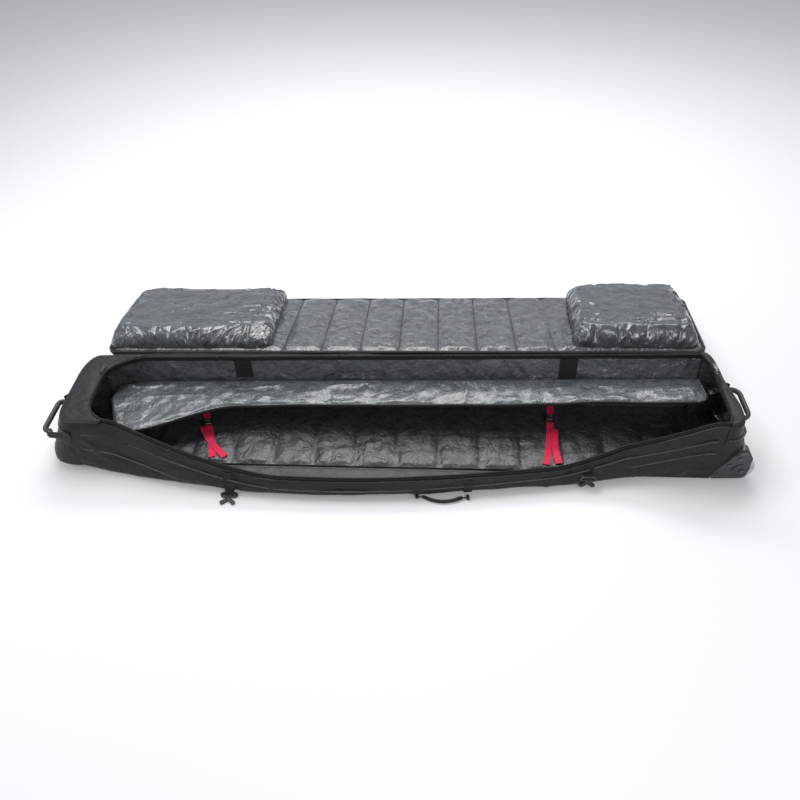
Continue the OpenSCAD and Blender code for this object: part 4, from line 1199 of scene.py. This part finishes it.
def puff_up(obj, limit):
    """A short cloth run that swells the pouch and wrinkles its cloth, with its move capped."""
    start = np.array([v.co[:] for v in obj.data.vertices])
    half = len(start) // 2
    group = obj.vertex_groups.new(name="held")
    heights = (start - LID_H) @ LID_UP
    low = [int(i) for i in np.nonzero(heights < LID_N + 0.0075)[0]]
    group.add(low, 1.0, "REPLACE")
    mod = obj.modifiers.new("cloth", "CLOTH")
    st = mod.settings
    st.quality, st.mass, st.air_damping = 4, 0.12, 2.0
    st.tension_stiffness = st.compression_stiffness = 12
    st.shear_stiffness, st.bending_stiffness = 6, 0.12
    st.use_pressure, st.uniform_pressure_force = True, 4.0
    st.effector_weights.gravity = 0
    st.vertex_group_mass = "held"
    st.shrink_min = -0.06
    mod.collision_settings.use_collision = False
    mod.point_cache.frame_start, mod.point_cache.frame_end = 1, CLOTH_FRAMES
    scene = bpy.context.scene
    for f in range(1, CLOTH_FRAMES + 1):
        scene.frame_set(f)
    deps = bpy.context.evaluated_depsgraph_get()
    moved = np.array([v.co[:] for v in obj.evaluated_get(deps).to_mesh().vertices])
    obj.evaluated_get(deps).to_mesh_clear()
    obj.modifiers.clear()
    obj.vertex_groups.clear()
    shift = moved - start
    far = np.linalg.norm(shift, axis=1, keepdims=True)
    shift = shift * np.minimum(1, CLOTH_CAP / np.maximum(far, 1e-9))
    shift[half:] = 0
    out = start + shift
    over = np.maximum((out - LID_H) @ LID_UP - limit, 0)
    out = out - over[:, None] * LID_UP
    obj.data.vertices.foreach_set("co", out.ravel())
    obj.data.update()
    scene.frame_set(1)


pocket("left", 200, 140, 201)
pocket("right", 150, 150, 231)


def pocket_trim(side):
    """Bound seam round a pocket, as one piping tube; its zip is not drawn."""
    a = np.linspace(-1, 1, 60)
    one = np.ones(59)
    f = np.r_[a[:-1], one, a[:0:-1], -one]
    g = np.r_[-one, a[:-1], one, a[:0:-1]]
    u, w, _, _ = pocket_plan(POCKETS[side][0], f, g)
    cu, cw = u.mean(), w.mean()
    ring = np.column_stack([u + 0.0015 * np.sign(u - cu), w + 0.0015 * np.sign(w - cw), 0 * u])
    ring = resample(ring, 0.006, closed=True)
    wob = 0.0014 * noise3(planar(ring[:, 0] * 25, ring[:, 1] * 25), 12)
    path = lid_point(ring[:, 0], ring[:, 1] + wob, np.full(len(ring), LID_N + 0.0032))
    sweep(f"pocket_{side}_piping", path, circle(0.0028, 8), TAPE, "lid", closed=True)


pocket_trim("left")
pocket_trim("right")


# ---------------------------------------------------------------- compression webbing over the lid
def lid_webbing():
    for k, x0 in enumerate(WEBBING_X):
        w = np.linspace(LID_W0 + 0.030, LID_W0 + LID_D - 0.006, 70)[:, None]
        v = np.linspace(-1, 1, 12)[None, :]
        u = x0 + v * WEB_W / 2 + 0 * w
        n = LID_N - LID_EDGE_T - crown(u / lid_half(w), w + 0 * u) - 0.0008
        soft = 0.0008 * noise3(planar(u * 20, w * 20 + 0 * u), 15) * smooth((1 - np.abs(v)) / 0.3)
        outer = lid_point(u, w, n - 0.0018 + soft)
        inner = lid_point(u, w, n + 0.0020)
        outer[..., 2] = np.maximum(outer[..., 2], 0.0006)
        inner[..., 2] = np.maximum(inner[..., 2], 0.0026)
        add_shell(f"compression_webbing_{k}", outer, inner, WEBBING, "lid",
                  ["lid_straps"] if k == 0 else [])
        for e in (-0.92, 0.92):
            line = lid_point(x0 + e * WEB_W / 2 + 0 * w[::2, 0], w[::2, 0],
                             (LID_N - LID_EDGE_T - crown(x0 / lid_half(w), w) - 0.0028)[::2, 0])
            stitches(f"compression_stitches_{k}_{e > 0}", line, THREAD, "lid")


lid_webbing()


# ---------------------------------------------------------------- hinge gusset
def gusset():
    x = np.linspace(-0.5, 0.5, 260)[:, None] * (LID_HINGE_L - 0.060)
    s = np.linspace(0, 1, 18)[None, :]
    y0, y1 = back_rim_y(x) - 0.003, HALF_W + 0.048 + LID_W0 * math.cos(DROOP) + 0.001
    y = mix(y0, y1, s)
    z_end = RIM_H + 0.001 + RIM_RISE * x + (-0.018) * math.cos(DROOP)
    sag = -0.010 * np.sin(math.pi * s) * (1 + 0.35 * noise3(planar(x * 8, x * 0), 21))
    z = mix(rim_z(x) + 0.0008, z_end, smooth(s)) + sag
    z = z + 0.0016 * noise3(planar(x * 30 + 0 * s, y * 40, 1.0), 22) * np.sin(math.pi * s)
    top = np.stack([x + 0 * s, y, z], axis=-1)
    under = top - np.array([0, 0, 0.0018])
    obj = add_shell("hinge_cloth", top, under, TAPE, None, ["hinge_gusset"])
    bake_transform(obj)


gusset()


# ---------------------------------------------------------------- seams and piping on the shell
def shell_line(side, t_of_x, lift, x0, x1):
    """Points on a long wall from x0 to x1, lifted off it, at the share of its height that t_of_x gives."""
    w = WALLS[side]
    base = w.p[:, 0, 0]
    keep = (base >= x0) & (base <= x1)
    out = []
    for i in np.nonzero(keep)[0]:
        t = float(t_of_x(base[i]))
        j = np.clip(t * (WALL_ROWS - 1), 0, WALL_ROWS - 1.001)
        k, f = int(j), j - int(j)
        out.append(mix(w.p[i, k], w.p[i, k + 1], f) + w.n[i, k] * lift)
    return np.array(out)


def shell_seams():
    pipe = circle(0.0026, 8)
    top = shell_line("front", lambda x: 0.80 - 0.06 * smooth((x - 0.4) / 0.4), 0.0022, -0.86, 0.85)
    sweep("front_upper_piping", top, pipe, PIPING, "bag")
    low = shell_line("front", lambda x: (0.30 + 0.22 * smooth((x - 0.25) / 0.5)
                                         + 0.22 * smooth((-0.35 - x) / 0.35)), 0.0022, -0.86, 0.85)
    sweep("front_lower_piping", low, pipe, PIPING, "bag")
    for name, t in (("upper", 0.80), ("lower", 0.25)):
        line = shell_line("back", lambda x: t, 0.0022, -0.87, 0.85)
        sweep(f"back_{name}_piping", line, pipe, PIPING, "bag")
    for k, x in enumerate(SEAM_X):
        w = WALLS["front"]
        i = int(np.argmin(np.abs(w.p[:, 20, 0] - x)))
        path = w.p[i, 3:-1] + w.n[i, 3:-1] * 0.0005
        stitches(f"front_seam_{k}", path + np.array([0.006, 0, 0]), THREAD, "bag")
        stitches(f"front_seam_{k}_b", path - np.array([0.006, 0, 0]), THREAD, "bag")
    for side, name in (("left", "left_end"), ("right", "right_end")):
        w = WALLS[side]
        j = 34 if side == "left" else 33
        sweep(f"{name}_piping", w.p[1:-1, j] + w.n[1:-1, j] * 0.0022, pipe, PIPING, "bag")
    foot = shell_line("back", lambda x: 0.02, 0.0010, -0.88, 0.85)
    stitches("back_foot_stitches", foot, THREAD, "bag")


shell_seams()


# ---------------------------------------------------------------- pieces kept from the part
KEPT_EDGE_ANGLE = 32


def keep(node, mat, slot, width=0.0, segments=2):
    """Gives a CAD node its material and rounds its edges by width; the slot is not used."""
    obj = NODES[node]
    obj.data.materials.clear()
    obj.data.materials.append(mat)
    weld = obj.modifiers.new("weld", "WELD")
    weld.merge_threshold = 0.00002
    if width:
        bevel(obj, width, segments, KEPT_EDGE_ANGLE).harden_normals = False


# Node, material, slot, and the width and steps of its rounded edges
KEPT = [(f"{part}_{side}", *looks) for side in ("front", "rear") for part, looks in (
    ("tyre", (TYRE, "tyre")),
    ("wheel_hub", (HUB, "hub", 0.0006)),
    ("bearings", (BEARING, "bearing", 0.0003)),
    ("axle", (STEEL, "steel", 0.0008)),
    ("wheel_guard", (GUARD, "guard", 0.0014, 3)))]
KEPT += [
    ("guard_screws", STEEL, "steel", 0.0007),
    ("skid_rails", RAIL, "rail", 0.0012, 3),
    ("bottom_panel", TARP, "tarpaulin", 0.0006),
    ("base_board", BOARD, "board", 0.0006),
    ("left_handle_anchors", BUCKLE, "webbing", 0.0012, 3),
    ("right_handle_anchors", BUCKLE, "webbing", 0.0012, 3),
    ("side_handle_anchors", BUCKLE, "webbing", 0.0010, 3),
    ("hook_left", BUCKLE, "buckle", 0.0011, 3),
    ("hook_right", BUCKLE, "buckle", 0.0011, 3),
    ("strap_loops", BUCKLE, "buckle", 0.0010, 3),
    ("zip_slider_left", SLIDER, "slider", 0.0007, 3),
    ("zip_slider_right", SLIDER, "slider", 0.0007, 3),
    ("zip_pull_left", SLIDER, "slider", 0.0005),
    ("zip_pull_right", SLIDER, "slider", 0.0005)]
for _row in KEPT:
    keep(*_row)


# ---------------------------------------------------------------- end grips
GRIP_L, GRIP_R = 0.130, 0.007


def grip(node, pivot, turn, reach, bend, body):
    """A ribbed moulded bar on two bent arms."""
    half = GRIP_L / 2 - GRIP_R - bend
    pts = []
    for s in np.linspace(-0.0055, reach - bend, 10):
        pts.append((s, -half - bend))
    for a in np.linspace(0, 90, 9)[1:]:
        r = math.radians(a)
        pts.append((reach - bend + bend * math.sin(r), -half - bend * math.cos(r)))
    for y in np.linspace(-half, half, 90)[1:-1]:
        pts.append((reach, y))
    pts += [(x, -y) for x, y in pts[:18][::-1]]
    path = np.array([(x, y, 0) for x, y in pts])
    path = resample(path, 0.0011)
    c, s = math.cos(turn), math.sin(turn)
    world = np.stack([pivot[0] + c * path[:, 0] - s * path[:, 1],
                      pivot[1] + s * path[:, 0] + c * path[:, 1],
                      pivot[2] + path[:, 2]], axis=1)
    on_bar = smooth((half + 0.004 - np.abs(path[:, 1])) / 0.008)
    ribs = 1 - 0.055 * on_bar * (0.5 + 0.5 * np.cos(2 * math.pi * path[:, 1] / 0.0052)) ** 3
    arms = 1 - 0.10 * (1 - on_bar)
    d = run_length(path)
    end = np.minimum(d, d[-1] - d)
    cap = np.sqrt(np.clip(1 - (1 - np.clip(end / 0.0055, 0, 1)) ** 2, 0.02, 1))
    sweep(node + "_bar", world, circle(GRIP_R * 0.985, 20, 1.25), GRIP, body, [node],
          sharp=60, scale=ribs * arms * cap)


LEFT_PIVOT = (-0.951175, -0.064350, 0.120)
RIGHT_PIVOT = (0.938389, 0.031200, 0.125)
grip("left_grip", LEFT_PIVOT, math.pi, 0.018, 0.012, "left_handle")
grip("right_grip", RIGHT_PIVOT, 0.0, 0.028, 0.022, "right_handle")


def plan_line(side, z):
    """The outer face of an end wall at one height, as a line in plan."""
    w = WALLS[side]
    out = []
    for row in w.p:
        out.append([np.interp(z, row[:, 2], row[:, k]) for k in (0, 1)] + [z])
    return np.array(out)


def anchor_tab(name, side, pivot, y_at, away):
    """Webbing that runs from a grip's bracket back to the end wall and is sewn along it."""
    line = plan_line(side, pivot[2])
    order = np.argsort(line[:, 1])
    line = line[order]
    if away < 0:
        line = line[::-1]
    start = np.nonzero((line[:, 1] - y_at) * away > 0.004)[0]
    run = line[start]
    run = run[run_length(run) < 0.046]
    out = -1.0 if side == "left" else 1.0
    t = np.gradient(run, axis=0)
    n = np.stack([t[:, 1], -t[:, 0], 0 * t[:, 0]], axis=1)
    n /= np.linalg.norm(n, axis=1, keepdims=True)
    n *= np.sign(n[:, :1] * out)
    run = run + n * 0.0042
    lead = np.array([[pivot[0] + out * 0.0045, y_at - away * 0.004, pivot[2]],
                     [pivot[0] + out * 0.0045, y_at + away * 0.0035, pivot[2]]])
    path = resample(np.vstack([lead, run]), 0.0025)
    k = np.ones(5) / 5
    pad = np.vstack([path[:1]] * 2 + [path] + [path[-1:]] * 2)
    path = np.stack([np.convolve(pad[:, c], k, "valid") for c in range(3)], axis=1)
    section = [(-0.0009, -0.012), (0.0009, -0.012), (0.0009, 0.012), (-0.0009, 0.012)]
    sweep(name, path, section, WEBBING, "bag")
    for h in (-0.0100, 0.0100):
        rows = path[8:-1] + np.array([0, 0, h])
        lean = np.zeros_like(rows)
        lean[:, 0] = out * 0.0011
        stitches(f"{name}_stitches_{h > 0}", rows + lean, THREAD, "bag")


ANCHOR_HALF = 0.0683
for _side, _pivot in (("left", LEFT_PIVOT), ("right", RIGHT_PIVOT)):
    for _end, _away in (("rear", 1), ("front", -1)):
        anchor_tab(f"{_side}_tab_{_end}", _side, _pivot, _pivot[1] + _away * ANCHOR_HALF, _away)


# ---------------------------------------------------------------- side handle and hook webbing
def wall_patch(name, xc, width, t0, t1, lift, thick):
    """A flat patch sewn on the front wall."""
    xs = np.linspace(xc - width / 2, xc + width / 2, 9)
    w = Wall([front_station(x) for x in xs], 60)
    a, b = int(t0 * 59), int(t1 * 59)
    p, n = w.p[:, a:b], w.n[:, a:b]
    add_shell(name, p + n * (lift + thick), p + n * lift, WEBBING, "bag")
    for e in (1, -2):
        stitches(f"{name}_stitches_{e}", (p + n * (lift + thick))[e, 1:-1], THREAD, "bag")


SIDE_X = 0.131 * HALF_L
SIDE_Y = float(-HALF_W - bulge(np.float64(SIDE_X)) - 0.006)


def side_handle():
    half, reach = 0.0525, 0.015
    t = np.linspace(-1, 1, 60)
    path = np.stack([SIDE_X + half * t, SIDE_Y - reach * (1 - t ** 2), 0.0054 + 0 * t], axis=1)
    path = resample(path, 0.003)
    sec = [(0.0044 * math.cos(a), 0.0052 * math.sin(a)) for a in np.linspace(0, 2 * math.pi, 17)[:-1]]
    sweep("side_handle_loop", path, sec, WEBBING, "carry_handle", ["side_handle"], sharp=60)
    line = path.copy()
    line[:, 2] += 0.0047
    stitches("side_handle_stitches", line[4:-4], THREAD, "carry_handle")
    for s in (-1, 1):
        wall_patch(f"side_handle_tab_{s > 0}", SIDE_X + s * 0.0685, 0.022, 0.50, 0.97, 0.0028, 0.0018)


side_handle()


def hook_webbing(i, x, y, z, length):
    """Two plies of webbing through a hook's slot, sewn down on the wall above it."""
    w = Wall([front_station(x), front_station(x + 1e-4)], 60)
    p, n = w.p[0], w.n[0]
    j0 = int(np.argmin(np.abs(p[:, 2] - max(z - 0.001, 0.010)) + (np.arange(60) < 8)))
    run = (p + n * 0.0036)[j0 + 3: j0 + 26]
    loop = [np.array([x, y + 0.0022 * math.cos(a), z + 0.0022 * math.sin(a)]) for a in
            (np.linspace(-0.6, -3.6, 9) if i == 0 else np.linspace(0.9, -2.8, 9))]
    path = resample(np.vstack([loop[::-1], run]), 0.002)
    section = [(-0.0128, -0.0007), (0.0128, -0.0007), (0.0128, 0.0007), (-0.0128, 0.0007)]
    t, _, _ = frames_along(path, False)
    side = np.array([1.0, 0, 0])
    up = np.cross(side, t)
    up /= np.linalg.norm(up, axis=1, keepdims=True)
    rings = np.array([[q + side * a + u * b for a, b in section] for q, u in zip(path, up)])
    name = ("hook_webbing_left", "hook_webbing_right")[i]
    obj = add_mesh(name + "_ply", rings.reshape(-1, 3), ring_faces(len(path), 4), WEBBING,
                   "bag", [name], 40)
    fix_normals(obj)
    row = path[-6]
    stitches(name + "_stitches", np.array([row + [-0.011, 0, 0], row + [0.011, 0, 0]]) + up[-6] * 0.0012,
             THREAD, "bag")


HOOKS = ((-0.45045, -0.237928, 0.0035, 0.014), (0.519675, -0.180043, 0.036, 0.007))
for _i, _h in enumerate(HOOKS):
    hook_webbing(_i, *_h)


# ---------------------------------------------------------------- ski straps and buckles
def floor_height(x, y):
    to_channel = channel_distance(x)
    puff = 0.5 + 0.5 * np.clip(crumple(x, y, 0.050, 61, waves=9), -1, 1)
    return 0.0128 + 0.0040 * smooth(to_channel / 0.030) + 0.0042 * puff * smooth(to_channel / 0.012)


def lay_strap(name, pts, width, lift, nodes, wave, seed):
    """Webbing laid over the quilted floor on a smooth line through points, on its highest places."""
    t = np.linspace(0, 1, len(pts))
    s = np.linspace(0, 1, 160)
    pts = np.array(pts, float)
    deg = min(3, len(pts) - 1)
    line = np.stack([polynomial.polyval(s, polynomial.polyfit(t, pts[:, k], deg)) for k in (0, 1)], axis=1)
    d = np.gradient(line, axis=0)
    d /= np.linalg.norm(d, axis=1, keepdims=True)
    across = np.stack([-d[:, 1], d[:, 0]], axis=1)
    v = np.linspace(-1, 1, 9)
    xy = line[:, None] + across[:, None] * (v[None, :, None] * width / 2)
    z = floor_height(xy[..., 0], xy[..., 1])
    top = z.max(axis=1)
    k = np.ones(11) / 11
    top = np.convolve(np.pad(top, 5, mode="edge"), k, "valid")
    top = top + wave * (0.5 + 0.5 * noise3(planar(s * 5, s * 0), seed)) + lift
    tilt = 0.0012 * noise3(planar(s * 6, s * 0 + 3), seed + 1)
    zz = top[:, None] + tilt[:, None] * v[None, :] + 0.0002 * (1 - v[None, :] ** 2)
    upper = np.stack([xy[..., 0], xy[..., 1], zz + 0.0016], axis=-1)
    lower = np.stack([xy[..., 0], xy[..., 1], zz + 0 * xy[..., 0]], axis=-1)
    obj = add_shell(name, upper, lower, PINK, "bag", nodes)
    for e in (1, 7):
        stitches(f"{name}_edge_{e}", upper[2:-2, e], PINK, "bag",
                 pitch=0.005, length=0.003, radius=0.00035)


def buckle(name, x, y, z, turn):
    """A cam buckle: a frame with a cross bar, and a toothed lever over it."""
    bm = bmesh.new()

    def box(cx, cy, cz, sx, sy, sz):
        at = Matrix.Translation((cx, cy, cz)) @ Matrix.Diagonal((sx, sy, sz, 1))
        bmesh.ops.create_cube(bm, size=1.0, matrix=at)

    for sy in (-1, 1):
        box(0, sy * 0.0118, 0.0028, 0.030, 0.0034, 0.0056)
    for sx in (-1, 1):
        box(sx * 0.0136, 0, 0.0016, 0.0030, 0.0236, 0.0032)
    box(-0.003, 0, 0.0012, 0.0026, 0.0236, 0.0024)
    lever = Matrix.Translation((0.004, 0, 0.0046)) @ Matrix.Rotation(math.pi / 2, 4, "X")
    bmesh.ops.create_cone(bm, segments=20, radius1=0.0034, radius2=0.0034, depth=0.0196, cap_ends=True,
                          matrix=lever)
    box(-0.004, 0, 0.0064, 0.017, 0.0186, 0.0022)
    for k in range(5):
        box(-0.0105 + 0.0022 * k, 0, 0.0078, 0.0009, 0.0160, 0.0010)
    mesh = bpy.data.meshes.new(name)
    bm.to_mesh(mesh)
    bm.free()
    mesh.transform(Matrix.Translation((x, y, z)) @ Matrix.Rotation(turn, 4, "Z"))
    obj = place(name, mesh)
    bevel(obj, 0.0006, 3, 40)
    apply_modifiers(obj)
    shade(obj.data, 45)
    dress(obj, BUCKLE, "bag", ["strap_buckles"] if name.endswith("left") else [])


STRAP_W = 0.020
STRAPS = {"left": ((-0.580, 0.060), (-0.522, -0.118)), "right": ((0.4505, 0.120), (0.4154, -0.118))}


def ski_strap(side, x0, y0, x1, y1):
    """A strap across the floor, its loose tail beside it, and its buckle a quarter of the way along."""
    mx, my = mix(x0, x1, 0.5), mix(y0, y1, 0.5)
    lay_strap(f"ski_strap_{side}_main", [(x0, y0), (mx + 0.004, my), (x1, y1)], STRAP_W, 0.0003,
              [f"ski_strap_{side}"], 0.0006, 301)
    ty = 0.25 * y0 - 0.020
    tail = [(x0 + 0.003, ty + 0.010), (mx + 0.014, mix(ty, y1, 0.5)), (x1 + 0.036, y1 + 0.004)]
    lay_strap(f"ski_strap_{side}_tail", tail, STRAP_W, 0.0022, [], 0.0016, 311)
    bx, by = mix(x0, x1, 0.25), mix(y0, y1, 0.25)
    top = float(floor_height(np.array([[bx]]), np.array([[by]]))[0, 0])
    buckle(f"strap_buckle_{side}", bx, by, top + 0.0026, math.atan2(y1 - y0, x1 - x0))


for _side, (_start, _end) in STRAPS.items():
    ski_strap(_side, *_start, *_end)


# ---------------------------------------------------------------- stage and light
def stage():
    bm = bmesh.new()
    n = 40
    rows = []
    for i in range(n + 1):
        a = i / n
        if a < 0.6:
            y, z = mix(-9.0, 7.0, a / 0.6), 0.0
        else:
            r = (a - 0.6) / 0.4 * math.pi / 2
            y, z = 7.0 + 4.0 * math.sin(r), 4.0 - 4.0 * math.cos(r)
        rows.append([bm.verts.new((x, y, z - 0.0006)) for x in (-14, 14)])
    for r, s in zip(rows[:-1], rows[1:]):
        bm.faces.new((r[0], r[1], s[1], s[0]))
    mesh = bpy.data.meshes.new("floor")
    bm.to_mesh(mesh)
    bm.free()
    shade(mesh)
    obj = place("floor", mesh)
    mat = bpy.data.materials.new("floor")
    mat.use_nodes = True
    b = mat.node_tree.nodes["Principled BSDF"]
    b.inputs["Base Color"].default_value = (0.60, 0.61, 0.625, 1)
    b.inputs["Emission Color"].default_value = (0.97, 0.98, 1.0, 1)
    b.inputs["Emission Strength"].default_value = 0.05
    b.inputs["Roughness"].default_value = 0.75
    b.inputs["Specular IOR Level"].default_value = 0.15
    mesh.materials.append(mat)


def area_light(name, at, to, size, power):
    data = bpy.data.lights.new(name, "AREA")
    data.shape, data.size, data.size_y = "RECTANGLE", size[0], size[1]
    data.energy = power
    obj = place(name, data)
    obj.location = at
    obj.rotation_euler = (Vector(to) - Vector(at)).to_track_quat("-Z", "Y").to_euler()


stage()
area_light("key", (-0.6, 0.9, 2.6), (0, 0.1, 0.1), (2.4, 0.7), 62)
area_light("back", (0.3, 2.5, 2.6), (0, 0.1, 0.1), (4.2, 0.7), 84)
area_light("fill", (1.0, -2.3, 2.1), (0, 0.1, 0.1), (1.6, 0.8), 40)
area_light("left", (-2.6, -0.4, 1.2), (0, 0, 0.1), (0.8, 1.2), 16)
area_light("backdrop", (0, 4.6, 3.2), (0, 5.2, 0), (8.0, 2.0), 40)

world = bpy.data.worlds.new("studio")
world.use_nodes = True
world.node_tree.nodes["Background"].inputs["Color"].default_value = (0.93, 0.95, 1.0, 1)
world.node_tree.nodes["Background"].inputs["Strength"].default_value = 0.42
bpy.context.scene.world = world
bpy.context.scene.view_settings.view_transform = "Standard"
